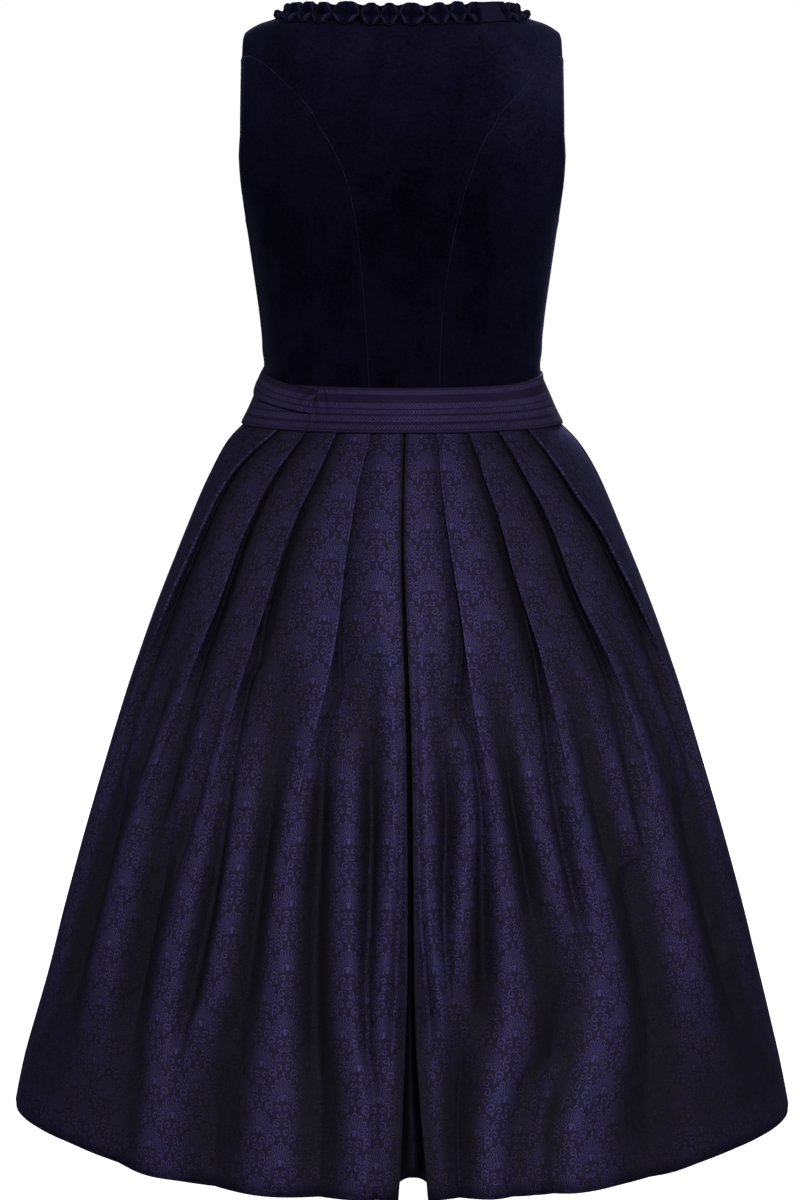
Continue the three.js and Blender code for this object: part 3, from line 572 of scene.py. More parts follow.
def palmette(f, x, y):
    """One palmette and the scrolls about it, drawn in light strokes from its heart."""
    def from_point(cx, cy):
        return ((x - cx) ** 2 + (y - cy) ** 2) ** 0.5

    def stroke(away, half=0.35):
        return away.rise(half + 0.5, half - 0.15)

    def scroll(cx, cy, radius, begin, hand=1, pitch=3.3):
        reach = from_point(cx, cy)
        turn = f.turn_of(x - cx, (y - cy) * hand) / (2 * math.pi)
        line = abs((reach / pitch + turn + begin).fract() - 0.5) * pitch
        return stroke(line, 0.42) * reach.rise(radius + 0.3, radius - 0.3)

    def leaf(cx, cy, wide, tall):
        return (((x - cx) / wide) ** 2 + ((y - cy) / tall) ** 2).rise(1.25, 0.8)

    reach = from_point(0, -1)
    turn = f.turn_of(y + 1, x)
    near = abs((turn / PETAL + 0.5).fract() - 0.5)
    edge = 10.5 + 9 / (1 + turn * turn * 1.5) - near * near * 15
    inside = (reach - edge).rise(0.4, -0.4) * turn.rise(2.0, 1.9)
    outline = stroke(abs(reach - edge), 0.45) * turn.rise(2.0, 1.9)
    between = stroke((0.5 - near) * reach * PETAL, 0.3) * reach.rise(5.0, 6.5) * inside
    vein = stroke(near * reach * PETAL, 0.3) * reach.rise(7.5, 9.5) * (reach - edge).rise(-1.5, -3.0) * inside
    heart = leaf(0, 0.5, 1.6, 2.6)
    ring = stroke(abs(reach - 4.4)) * y.rise(-3.5, -2)
    fan = strongest(outline, between * 0.8, vein * 0.75, heart, ring)
    scrolls = strongest(scroll(11.6, -6.6, 4.6, 0.3), scroll(17.7, -1.5, 3.7, 0.85, -1),
                        scroll(17.9, 7.0, 3.9, 0.1), scroll(18.9, 14.9, 3.0, 0.6, -1),
                        scroll(3.9, -8.6, 3.4, 0.45))
    leaves = strongest(leaf(22, -6.4, 1.0, 2.0), leaf(12.4, 17.0, 1.0, 2.4), leaf(14.2, 3.6, 0.8, 1.8),
                       leaf(8.6, 20.6, 0.8, 1.6))
    return strongest(fan, scrolls * 0.9, leaves * 0.8, inside * 0.12)


def damask_figure(f):
    """Palmettes in a half-drop layout."""
    across, along = f.cloth_place()
    found = []
    for shift in (0, 0.5):
        x = abs((across / PALMETTE_WIDE + shift).fract() - 0.5) * PALMETTE_WIDE
        y = ((along / PALMETTE_TALL + shift).fract() - 0.5) * PALMETTE_TALL
        found.append(palmette(f, x, y))
    return strongest(*found)


def damask():
    f = Finish("violet_damask")
    rim_highlight, hollow, stitched = f.marks()
    across, along = f.cloth_place()
    figure = damask_figure(f)
    threads = f.threads(across * 2.6, along * 1.6, 0.0)
    grain = f.threads(across * 0.9, along * 0.8, 5.0)
    slub = f.threads(across * 0.5, along * 0.12, 3.0, detail=3)
    warm = f.noise(34, detail=3, roughness=0.65)
    # Painted shade: where hollow is high the cloth takes the dark colour in place of the lit one.
    lit = (1 - hollow) ** 1.25
    ground = f.blend(warm.rise(0.35, 0.7), tone(0.0225, 0.0186, 0.049), tone(0.0280, 0.0190, 0.046))
    color = f.blend(figure, ground, tone(0.057, 0.049, 0.150))
    # The colour of the painted shade in the folds' valleys.
    dark = f.blend(figure * 0.3, tone(0.0128, 0.0113, 0.0158), tone(0.0185, 0.0157, 0.036))
    color = f.blend(lit, dark, color)
    # The first mark adds a painted highlight along the crisp pleat edges and the pressed lines.
    color = f.tinted(color, 0.13 + threads * 0.6 + grain * 0.8 + slub * 0.36 + rim_highlight * 0.6)
    roughness = 0.62 - figure * 0.08 + threads * 0.06
    height = figure * 0.7 + threads * 0.35 - stitched * 1.5
    return f.close(base_color=color, metallic=0.55, roughness=roughness, specular_ior_level=0.1,
                   specular_tint=tone(0.33, 0.32, 0.8), normal=f.bump(height, 0.00025, 0.6))


SATIN_STRIPE = 5.2


def apron_satin():
    f = Finish("violet_satin")
    edge, hollow, stitched = f.marks()
    across, along = f.cloth_place()
    threads = f.threads(across * 3.0, along * 0.3, 0.0)
    stripe = (across * (2 * math.pi / SATIN_STRIPE)).cos().rise(0.55, 0.85)
    color = f.blend(stripe * 0.55, tone(0.030, 0.0235, 0.070), tone(0.050, 0.041, 0.118))
    # Painted light: hollow darkens the hollows between tucks and folds as painted shade, and edge lightens
    # the tucks' crests as a painted highlight.
    color = f.tinted(color, 0.7 + threads * 0.5 - hollow * 0.55 + edge * 0.3)
    height = threads * 0.5 + stripe * 0.3 - stitched * 1.5
    return f.close(base_color=color, metallic=0.5, roughness=0.5 + threads * 0.08, specular_ior_level=0.1,
                   specular_tint=tone(0.35, 0.3, 0.8), normal=f.bump(height, 0.0002, 0.5))


# The woven lines along the ribbon: their height on it, half their width and their strength.
RIBBON_LINES = ((5.5, 1.9, 0.7), (12.7, 2.3, 0.9), (19.1, 1.7, 0.8), (24.6, 2.2, 1.0), (36.4, 1.8, 0.9))
RIBBON_TICK = 2.9
RIBBON_STITCH, STITCH_FROM_MIDDLE = 2.6, 19.1


def striped_ribbon():
    f = Finish("striped_ribbon")
    edge, crease_shade, _ = f.marks()
    across, along = f.cloth_place()
    lines, ticks = [], []
    for height, half, share in RIBBON_LINES:
        away = abs(along - height)
        line = away.rise(half + 0.6, half - 0.3) * share
        slant = ((across + away * 1.3) / RIBBON_TICK).fract()
        lines.append(line)
        ticks.append(abs(slant - 0.5).rise(0.30, 0.14) * line)
    sparkle = f.threads(across * 1.1, along * 1.3, 0.0)
    ticks = strongest(*ticks) * sparkle.rise(0.35, 0.62)
    stitch_line = abs(abs(along - RIBBON_WIDE / 2) - STITCH_FROM_MIDDLE).rise(0.5, 0.2)
    stitch = stitch_line * (across / RIBBON_STITCH).fract().rise(0.25, 0.35)
    threads = f.threads(across * 0.6, along * 4.0, 0.0)
    ground = f.tinted(tone(0.0145, 0.0102, 0.0285), 0.42 + threads * 0.8 + sparkle * 0.3)
    color = f.blend(strongest(*lines) * 0.5, ground, tone(0.0200, 0.0145, 0.0480))
    color = f.blend(ticks, color, tone(0.078, 0.066, 0.185))
    color = f.blend(stitch * 0.7, color, tone(0.045, 0.037, 0.090))
    # Painted shade in the ribbon's puckers, gathers, pleats and creases, and along the tie's lower edge.
    color = f.tinted(color, 0.88 - crease_shade * 0.55 + edge * 0.25)
    relief = ticks * 0.6 + threads * 0.3 + stitch * 0.8
    return f.close(base_color=color, metallic=0.3, roughness=0.58, specular_ior_level=0.15,
                   specular_tint=tone(0.35, 0.3, 0.8), normal=f.bump(relief, 0.00025, 0.6))


VELVET, TRIM, DAMASK, SATIN, RIBBON = velvet(), ruched_velvet(), damask(), apron_satin(), striped_ribbon()


# ---- bodice ----
BUST_OUT, BUST_ACROSS, BUST_LEVEL = 8, 66, -188
VELVET_WALL = 1.6
SEAM_ROWS, ARM_ROWS, NECK_ROWS = 48, 20, 26
CENTRE_COLUMNS, SIDE_COLUMNS = 30, 28


def bust_ease(across, z):
    """How far the front stands out over the bust."""
    return BUST_OUT * bell(abs(across) - BUST_ACROSS, 40) * bell(z - BUST_LEVEL, 52)


def bodice_point(face, turn, level):
    """A point of the plain bodice, by the angle round from the centre and the level."""
    arch = max(0, (level - BLADE) / ARCH_RUN) * QUARTER
    power = 2 / FIGURE("square", level)
    across = FIGURE("half", level) * signed_power(math.sin(turn), power)
    depth = FIGURE(FACES[face], level) * max(0, math.cos(turn)) ** power
    lift = abs(math.sin(arch)) ** (2 / ARCH_SQUARE)
    z = min(level, BLADE) + (RIDGE("height", abs(across)) - BLADE) * lift
    ease = bust_ease(across, z) if face == FRONT else 0
    hollow = signed_power(math.cos(arch), 2 / ARCH_SQUARE)
    return Vector((across, face * (depth * hollow + ease * math.cos(turn)), z))


def bodice_normal(face, turn, level):
    aside, up = 0.004, 0.4
    sideways = bodice_point(face, turn + aside, level) - bodice_point(face, turn - aside, level)
    upwards = bodice_point(face, turn, level + up) - bodice_point(face, turn, level - up)
    return sideways.cross(upwards).normalized() * -face


def turn_at(across, level):
    """The angle round at which the bodice is so far across."""
    share = min(1, abs(across) / FIGURE("half", level))
    return math.copysign(math.asin(share ** (FIGURE("square", level) / 2)), across)


def turn_at_reach(face, reach, level):
    """The angle round at which the bodice is so far to the back or front."""
    depth = FIGURE(FACES[face], level)
    return math.acos(min(1, reach / depth) ** (FIGURE("square", level) / 2))


def to_turns(path, hand):
    return [(turn_at(hand * across, level), level) for across, level in path]


def princess(face, side):
    """A princess seam from the waist up, as (across, level)."""
    table = BACK_PRINCESS if face == BACK else FRONT_PRINCESS
    levels = [mix(WAIST, PRINCESS_TOP[face], t) for t in steps(80)]
    return evenly([(table(side, level), level) for level in levels], SEAM_ROWS)


def armhole(face, upper, count, hand):
    """The armhole's edge as (turn, level), above or below its corner with the princess seam."""
    name = FACES[face]
    corner = PRINCESS_TOP[face]
    first, last = (corner, SHOULDER) if upper else (UNDERARM, corner)
    scale = FIGURE("half", BLADE)
    edge = []
    for t in steps(90):
        level = mix(first, last, t if upper else t ** 2)
        if level < ARMHOLE_CHANGE:
            turn = turn_at_reach(face, ARMHOLE_REACH(name, level), level)
        else:
            turn = turn_at(ARMHOLE_ACROSS(name, level), level)
        edge.append([turn * scale, level])
    edge[0 if upper else -1][0] = turn_at(PRINCESS_END[face], corner) * scale
    return [(hand * run / scale, level) for run, level in evenly(edge, count)]


def back_neck(share):
    """The back neckline from its centre, at 0, to a shoulder, at 1 or -1, as (across, level)."""
    angle = share * QUARTER
    across = NECK_HALF * signed_power(math.sin(angle), 2 / NECK_SQUARE)
    depth = NECK_BACK * max(0, math.cos(angle)) ** (2 / NECK_SQUARE)
    full = FIGURE("back", BLADE) * math.cos(turn_at(across, BLADE)) ** (2 / FIGURE("square", BLADE))
    arch = math.acos(min(1, (depth / full) ** (ARCH_SQUARE / 2)))
    return across, BLADE + arch / QUARTER * ARCH_RUN


def front_neck():
    spots = [t * NECKLINE_SPOTS for t in steps(96)]
    return [(FRONT_NECKLINE("across", spot), FRONT_NECKLINE("level", spot)) for spot in spots]


def centre_edges(face, side, hand, neck_path):
    """The outer and inner edge of half a centre panel, from the waist up to the shoulder."""
    outer = to_turns(princess(face, side), hand) + armhole(face, True, ARM_ROWS, hand)[1:]
    centre_rows = len(outer) - 1 - NECK_ROWS
    neck = to_turns(evenly(neck_path, NECK_ROWS), hand)
    inner = [(0, mix(WAIST, neck[0][1], t)) for t in steps(centre_rows)] + neck[1:]
    return outer, inner


def wrinkle(point):
    """Small drags in the worn bodice: level ones at the waist and faint ones beside the armholes."""
    x, _, z = point
    waist = bell(z + 326, 22) * math.sin(z * 0.21 + x * 0.018 + 2.2 * math.sin(x * 0.021)) * 0.7
    drag = bell(z + 150, 60) * bell(abs(x) - 120, 40) * math.sin(z * 0.07 - abs(x) * 0.05) * 0.8
    return waist + drag


def closer_at_ends(count):
    """Shares from 0 to 1 that lie closer together near both ends."""
    return [t + 0.5 * (t - 0.5) * (1 - abs(2 * t - 1)) * 1.4 for t in steps(count)]


def at_shares(path, shares):
    """The places on a path at shares of its number of steps."""
    count = len(path) - 1
    found = []
    for share in shares:
        i = min(int(share * count), count - 1)
        found.append(tuple(mix(a, b, share * count - i) for a, b in zip(path[i], path[i + 1])))
    return found


def bodice_panel(face, first, last, columns, seams, top=None):
    """Rows of points between two edges of (turn, level), drawn up to a top edge where there is one.

    seams says which of the two edges are seams.
    """
    across = closer_at_ends(columns)
    grid = []
    for j, v in enumerate(steps(len(first) - 1)):
        row = []
        for i, u in enumerate(across):
            turn, level = (mix(first[j][k], last[j][k], u) for k in (0, 1))
            if top:
                turn, level = (value + (top[i][k] - mix(top[0][k], top[-1][k], u)) * v ** 2.5
                               for k, value in enumerate((turn, level)))
            row.append((bodice_point(face, turn, level), bodice_normal(face, turn, level)))
        run = run_along([point for point, _ in row])
        made = []
        for i, (point, normal) in enumerate(row):
            nearest = min([run[i]] * seams[0] + [run[-1] - run[i]] * seams[1] + [99])
            dip = -0.9 * bell(nearest, 2.2) + 0.35 * bell(nearest - 4.5, 2.5)
            # Marks: a painted highlight along a seam, and a fainter painted highlight just beside it.
            mark = (clamp(1 - nearest / 1.1), bell(nearest - 3, 2.5), 0)
            made.append((point + normal * (wrinkle(point) + dip), (run[i], point.z), mark))
        grid.append(made)
    return grid


def side_panel(face, side, hand):
    first = to_turns(princess(face, side), hand)
    side_seam = [(hand * QUARTER, mix(WAIST, UNDERARM, t)) for t in steps(SEAM_ROWS)]
    top = armhole(face, False, SIDE_COLUMNS, hand)[::-1]
    top[0], top[-1] = first[-1], side_seam[-1]
    top = at_shares(top, closer_at_ends(SIDE_COLUMNS))
    return bodice_panel(face, first, side_seam, SIDE_COLUMNS, (1, 1), top)


def velvet_piece(end, grids):
    return cloth(f"velvet_{end}", f"bodice_{end}", VELVET, grids, VELVET_WALL)


def make_bodice():
    back_path = [back_neck(t) for t in steps(80)]
    halves = []
    for side, hand in HANDS:
        outer, inner = centre_edges(BACK, side, hand, back_path)
        halves.append(bodice_panel(BACK, outer, inner, CENTRE_COLUMNS, (1, 0)))
    pieces = {"back": velvet_piece("back", halves)}
    for side, hand in HANDS:
        for face, name in FACES.items():
            end = f"side_{name}_{side}"
            pieces[end] = velvet_piece(end, [side_panel(face, side, hand)])
        outer, inner = centre_edges(FRONT, side, hand, front_neck())
        end = f"front_{side}"
        pieces[end] = velvet_piece(end, [bodice_panel(FRONT, inner, outer, CENTRE_COLUMNS, (1, 1))])
    return pieces


# ---- ruched neck trim ----
PUFF, PUFF_COLUMNS = 21, 22
TRIM_ABOVE, TRIM_BELOW, TRIM_RIBBON, TRIM_WALL = 7.5, 13, 19, 0.8
JOIN = 77
SLIDE_STEPS = 4


def slide(face, spot, direction, distance):
    """Walks over the cloth from a spot in short straight steps. Above the edge the way is straight."""
    turn, level = spot
    if distance <= 0:
        return bodice_point(face, turn, level) + direction * distance, bodice_normal(face, turn, level)
    aside, down = 0.002, 0.1
    for _ in range(SLIDE_STEPS):
        here = bodice_point(face, turn, level)
        sideways = (bodice_point(face, turn + aside, level) - here) / aside
        upwards = (bodice_point(face, turn, level - down) - here) / -down
        a, b, c = sideways.dot(sideways), sideways.dot(upwards), upwards.dot(upwards)
        p, q = (way.dot(direction) * distance / SLIDE_STEPS for way in (sideways, upwards))
        spread = a * c - b * b
        turn += (c * p - b * q) / spread
        level = min(SHOULDER, level + (a * q - b * p) / spread)
    return bodice_point(face, turn, level), bodice_normal(face, turn, level)


def ruching(along, share):
    """A box-pleated ribbon with each pleat's two folded edges pinched together over its middle.

    Gives the height, the pull towards the middle, and how near the spot is to a folded edge.
    """
    turned = 0.07 * math.sin(math.floor(along) * 2.4)
    unit = along - math.floor(along) - 0.5
    cross = 2 * share - 1
    spread = 0.06 + 0.27 * abs(cross - turned) ** 1.3
    off = abs(unit) - spread
    open_up = smooth(0.0, 0.55, abs(cross))
    folded = 2.6 + 3.6 * open_up
    if off > 0:
        height = 2.0 + (folded - 2.0) * math.cos(min(1, off / (0.5 - spread)) * QUARTER) ** 0.6
    else:
        height = mix(folded, 1.0, smooth(0, 0.13, -off))
    height *= 1 - 0.5 * smooth(0.82, 1.0, abs(cross))
    pull = -0.14 * cross * bell(unit, 0.2) * smooth(0.3, 1.0, abs(cross))
    pull += 0.10 * cross * bell(abs(unit) - 0.5, 0.12)
    return height, pull, bell(off * PUFF, 0.9) * (0.35 + 0.65 * open_up)


def neck_trim(name, node, face, path):
    """A ruched ribbon laid along a path of (across, level) on the bodice."""
    length = run_along([bodice_point(face, *spot) for spot in to_turns(path, 1)])[-1]
    puffs = round(length / PUFF)
    spots = to_turns(evenly(path, puffs * PUFF_COLUMNS), 1)
    line = [bodice_point(face, *spot) for spot in spots]
    sides = []
    for i, spot in enumerate(spots):
        normal = bodice_normal(face, *spot)
        tangent = (line[min(i + 1, len(line) - 1)] - line[max(i - 1, 0)]).normalized()
        down = normal.cross(tangent).normalized()
        if down.z > 0 or (abs(down.z) < 0.2 and down.x * line[i].x < 0):
            down = -down
        sides.append(down)
    grid = []
    for share in steps(20):
        row = []
        from_middle = abs(2 * share - 1)
        for i, spot in enumerate(spots):
            height, pull, folded = ruching(i / PUFF_COLUMNS + 0.15 * math.sin(i / PUFF_COLUMNS * 1.9), share)
            joined = smooth(10, 7.5, abs(line[i].x - JOIN)) if face == BACK else 0
            height = mix(height, 4.6 - 1.2 * from_middle ** 4, joined)
            reach = mix(-TRIM_ABOVE, TRIM_BELOW, share + pull * 0.5 * (1 - joined))
            point, normal = slide(face, spot, sides[i], reach)
            point = point + normal * (1.2 + height)
            point.y = face * max(0.1, face * point.y)
            # A painted highlight along the ribbon's outer edges and its folded edges; the first mark gives
            # painted shade in the low places between the puffs.
            rim_highlight = smooth(0.9, 1.0, from_middle) * 0.6
            edge = mix(clamp(max(rim_highlight, folded)), 0.25 + 0.5 * smooth(0.88, 1.0, from_middle), joined)
            place = (i * PUFF / PUFF_COLUMNS, share * TRIM_RIBBON)
            row.append((point, place, (smooth(1.0, 5.5, height), edge, 0)))
        grid.append(row)
    return cloth(name, node, TRIM, [grid], TRIM_WALL)


def make_trims():
    back = [back_neck(mix(-1, 1, t)) for t in steps(160)]
    pieces = {"back": neck_trim("ruche_back", "neck_trim_back", BACK, back)}
    for side, hand in HANDS:
        path = [(hand * across, level) for across, level in front_neck()]
        pieces[side] = neck_trim(f"ruche_front_{side}", f"neck_trim_front_{side}", FRONT, path)
    return pieces


# ---- skirt ----
def ring_point(table, face, angle, z, out):
    """A point at an angle from the centre back or front, moved out level from the plain ring."""
    half, depth = table("half", z), table(FACES[face], z)
    x, y = half * math.sin(angle), depth * math.cos(angle)
    normal = Vector((x / half ** 2, y / depth ** 2)).normalized()
    return x + normal.x * out, face * (y + normal.y * out)


# The edges of the laid pleats, and the soft ridges within each pleat. SIDE is the stretch after the last
# edge, and LOWEST the valley between two pleats, as a share of the folds' height.
SIDE_EDGES = ("e1", "e2", "e3", "e4")
WITHIN = (("c1", "c2"), ("m1",), ("m2",), ("m3",), ())
SIDE = len(SIDE_EDGES)
LOWEST = -0.85
FULL_WAVE = 22
PLEAT_STEPS, RISE_STEPS = 27, 9
BACK_ROWS, FRONT_ROWS = 116, 60
DAMASK_WALL = 1.2

# How strong the painted shade is low down: round the side, on its calm side stretches, and how wide it is
# beside the slit.
LOW_SIDE_SHADE = {"left": 0.15, "right": 0.4}
CALM_SHADE = {"left": 0.68, "right": 0.86}
SLIT_SHADE_WIDE = {"left": 13, "right": 17}


def wave(angle, crests, half, valley):
    """Height and painted shade between rounded crests of (degrees, height).

    A valley lies midway between its crests, but the last one lies at the given share of its way.
    """
    i = 0
    while i < len(crests) - 2 and angle > crests[i + 1][0]:
        i += 1
    (a, high_a), (b, high_b) = crests[i:i + 2]
    depth = clamp(math.radians(max((b - a) / 2, 0.1)) * half / FULL_WAVE)
    low = mix(a, b, valley if i == len(crests) - 2 else 0.5)
    near, reach, high = (angle - a, low - a, high_a) if angle < low else (b - angle, b - low, high_b)
    share = clamp(near / max(reach, 0.1))
    height = mix(high, min(mix(0.6, -1, depth), high), share ** 1.6)
    return height, smooth(0.16, 0.72, share) * mix(0.1, 1, depth ** 1.7)


def side_shade(side, z, angle):
    """Painted shade where the cloth turns away round the side of the skirt."""
    return smooth(56, 75, angle) * (0.2 + LOW_SIDE_SHADE[side] * smooth(-700, -800, z))


def laid_half(z, side):
    """Half of a section of the skirt's back, from the slit to the side.

    Each spot is (degrees, out in mm, pleat, whether it is past the pleat's valley, painted highlight on a
    crisp edge, painted shade).
    """
    folds, ridges, half, fold = FOLDS[side], RIDGES[side], SKIRT("half", z), SKIRT("fold", z)
    opened = OPENING("open", z)
    tuck = math.degrees(OPENING("under", z) / half)
    slit = SKIRT("slit", z) * (1 if side == "right" else -1)
    edges = [math.degrees((SKIRT("gap", z) + slit) / half)] + [folds(name, z) for name in SIDE_EDGES] + [90]
    calm = smooth(-850, -990, z)
    edge_heights = [0.6, 1, 1, mix(0.1, 1, ridges("e3", z)), 0.7 * (1 - 0.8 * calm), 0]
    plain = list(zip(edges, edge_heights))
    inner_ridges = []
    for names, here, there in zip(WITHIN, edges, edges[1:]):
        inner_ridges.append([(clamp(folds(name, z), here + 1.2 + i * 1.6, there - 1.2), ridges(name, z))
                             for i, name in enumerate(names)])

    def laid(k, angle):
        """Height and painted shade where pleat k lies crisp on the next."""
        share = clamp((angle - edges[k]) / (edges[k + 1] + tuck - edges[k]))
        if k == SIDE:
            return mix(edge_heights[k], 0, smooth(0, 0.6, share)), 0.25
        return mix(edge_heights[k], LOWEST, share ** (1.8 if k else 2.4)), smooth(0.28, 0.95, share) * 0.95

    def surface_at(k, angle):
        """Height and painted shade at an angle of pleat k, between crisp and opened."""
        crisp, dark = laid(k, angle)
        valley = mix(0.93, 0.5, opened)
        soft, shade = wave(angle, plain[k:k + 2], half, valley if k < SIDE else 0.5)
        inner = inner_ridges[k]
        if inner:
            near = min(inner, key=lambda ridge: abs(ridge[0] - angle))
            strength = near[1]
            if len(inner) == 2:
                strength = mix(inner[0][1], inner[1][1], smooth(inner[0][0], inner[1][0], angle))
                crisp += 0.3 * sum(bell(angle - place, 2.2) * strong for place, strong in inner)
                dark *= 0.5 + 0.45 * bell(z + 600, 55)
            crests = [plain[k]] + [(place, 0.8) for place, _ in inner] + [plain[k + 1]]
            fuller, shade_full = wave(angle, crests, half, valley)
            soft, shade = mix(soft, fuller, strength), mix(shade, shade_full, strength)
        # Low on the sides the painted shade evens out to one calm level.
        flat = calm * smooth(38, 50, angle)
        # Painted shade on the upper skirt away from the centre back.
        upper = 0.4 * smooth(19, 30, angle) * smooth(-680, -570, z)
        shade = mix(shade, CALM_SHADE[side], flat)
        # The painted shade grows lighter near the hem.
        shade *= 1 - 0.3 * smooth(-985, HEM, z)
        deepest = max(dark * (1 - opened) ** 0.45, shade * opened ** 0.4)
        # Painted shade beside the slit, wider towards the hem.
        slit_wide = mix(3, SLIT_SHADE_WIDE[side], smooth(-780, -1000, z))
        slit_shade = 0.92 * bell(max(angle - edges[0], 0) * half / RADIAN, slit_wide)
        deepest = max(deepest, slit_shade)
        height = mix(crisp, mix(soft, 0, 0.85 * flat), opened)
        return height, max(mix(deepest, 1, upper), side_shade(side, z, angle))

    stations = []
    for k, (here, there) in enumerate(zip(edges, edges[1:])):
        last = here
        if inner_ridges[k]:
            place, strength = inner_ridges[k][-1]
            last = mix(here, place, smooth(0.2, 0.5, strength))
        end = mix(there + tuck, mix(last, there, 0.52), opened) if k < SIDE else there
        for i in range(PLEAT_STEPS):
            t = i / PLEAT_STEPS
            angle = mix(here, end, mix(t, t ** 1.5, 1 - opened))
            height, hollow = surface_at(k, angle)
            # A painted highlight along the crisp edge of each laid pleat.
            rim_highlight = bell((angle - here) * math.radians(half) - 0.4, 0.9) * (1 - opened) if k else 0
            stations.append((angle, height * fold, k, False, rim_highlight, hollow))
        if k == SIDE:
            break
        for i in range(RISE_STEPS):
            t = i / RISE_STEPS
            rising = 1 - (1 - t) ** 1.6
            angle = mix(end, there, rising) + math.sin(math.pi * t) * tuck * 0.3 * (1 - opened)
            soft, shade = surface_at(k, min(angle, there))
            height = mix(mix(LOWEST, 1, rising), soft, opened)
            # Painted shade on the cloth that rises under the next edge.
            stations.append((angle, height * fold, k, True, 0, mix(1 - t, shade, opened)))
    stations.append((90, 0, SIDE, False, 0, surface_at(SIDE, 90)[1]))
    return stations


def skirt_rows(count):
    """Levels from the hem up, closer together towards the top."""
    return [mix(HEM, SKIRT_TOP, t ** 0.85) for t in steps(count)]


def lay_along(section, z, face, table):
    """The points of half a section, and how far along the cloth each one is."""
    points = [Vector(ring_point(table, face, math.radians(s[0]), z, s[1])) for s in section]
    return points, run_along(points)


def pleat_starts(section, run):
    """How far along the cloth each pleat begins."""
    found = {}
    for station, along in zip(section, run):
        found.setdefault(station[2], along)
    return found


def creases(side, z, angle):
    """The pressed lines at a spot of the back skirt, as height and a painted highlight along the line."""
    table = PRESSED[side]
    if not table.at[0] <= z <= table.at[-1]:
        return 0, 0
    strength = table("strength", z)
    away = (angle - table("angle", z)) * SKIRT("half", z) / RADIAN
    return (1.6 * bell(away, 2.2) - 1.2 * bell(away - 6, 5)) * strength, 0.8 * bell(away, 1.3) * strength


LEFT_PULL = 3.6
LIFT_FROM, WELL_LIFT_FROM = -820, -940


def side_pull(z, angle):
    """How far the left side hangs in towards the middle, by degrees from the centre back or front."""
    return LEFT_PULL * smooth(-1020, -900, z) * smooth(-380, -430, z) * smooth(30, 85, angle)


def hung(z, angle, side):
    """The height that a level of the skirt has, with its hem lifted."""
    return z + HEM_LIFT(side, angle) * clamp((LIFT_FROM - z) / (LIFT_FROM - HEM)) ** 1.4


def stitched_hem(up, width):
    """How near a spot is to the hem's stitched line or to its very edge."""
    return clamp(bell(up - HEM_STITCH, width) + 0.6 * bell(up, 1.6))


def flat_cut(across, along):
    """The flat size and the area of the cloth that shows, from its width at each height along it."""
    area = sum((a + b) / 2 * (d - c) for a, b, c, d in zip(across, across[1:], along, along[1:]))
    return (across[0] * MM, along[-1] * MM), area * MM * MM


# The cloth behind the slit, across it: shares of the gap, and of the way in.
WELL = ((-0.9, 0.25), (-0.7, 0.6), (-0.5, 0.85), (-0.25, 1), (0.25, 1), (0.5, 0.85), (0.7, 0.6), (0.9, 0.25))


def slit_well(z, up, hem_line):
    """One row of the cloth behind the slit."""
    depth, gap, slit, back = (SKIRT(name, z) for name in ("recess", "gap", "slit", "back"))
    outer = back + 0.5 * SKIRT("fold", z)
    well = []
    for share, deep in WELL:
        x = slit + share * gap
        raised = (12 + 0.13 * depth * (0.85 - deep)) * clamp((WELL_LIFT_FROM - z) / (WELL_LIFT_FROM - HEM))
        # Painted shade on the cloth behind the slit, a little lighter on its right-hand part near the hem.
        dark = 1 - 0.3 * smooth(-0.2, 0.6, share) * smooth(WELL_LIFT_FROM, -1010, z)
        point = (x, -outer + deep * depth, hung(z, 0, "left") + raised)
        well.append((point, (x, up), (0, dark, hem_line)))
    return well


def make_skirt_back():
    rows = skirt_rows(BACK_ROWS)
    length = run_up(SKIRT, "back", rows)
    base, across = {}, []
    for side, _ in HANDS:
        section = laid_half(HEM, side)
        _, run = lay_along(section, HEM, BACK, SKIRT)
        base[side] = pleat_starts(section, run)
    grid = []
    for z, up in zip(rows, length):
        made = {}
        across.append(0)
        hem_line = stitched_hem(up, 0.8)
        for side, hand in HANDS:
            section = laid_half(z, side)
            _, run = lay_along(section, z, BACK, SKIRT)
            across[-1] += run[-1]
            starts = pleat_starts(section, run)
            row = []
            for (angle, out, k, past, rim_highlight, hollow), along in zip(section, run):
                from_start = base[side][k] + along - starts[k]
                where = base[side][k + 1] - (starts[k + 1] - along) if past else from_start
                # Marks: painted highlights on the crisp edges and pressed lines, and painted shade in the
                # folds.
                lift, light = creases(side, z, angle)
                x, y = ring_point(SKIRT, BACK, math.radians(angle), z, out + lift)
                if side == "left":
                    x -= side_pull(z, angle)
                mark = (clamp(rim_highlight + light), hollow, hem_line)
                row.append(((hand * x, y, hung(z, angle, side)), (hand * where, up), mark))
            made[side] = row
        grid.append(made["left"][::-1] + slit_well(z, up, hem_line) + made["right"])
    piece = cloth("damask_skirt_back", "skirt_back", DAMASK, [grid], DAMASK_WALL)
    return piece, flat_cut(across, length)


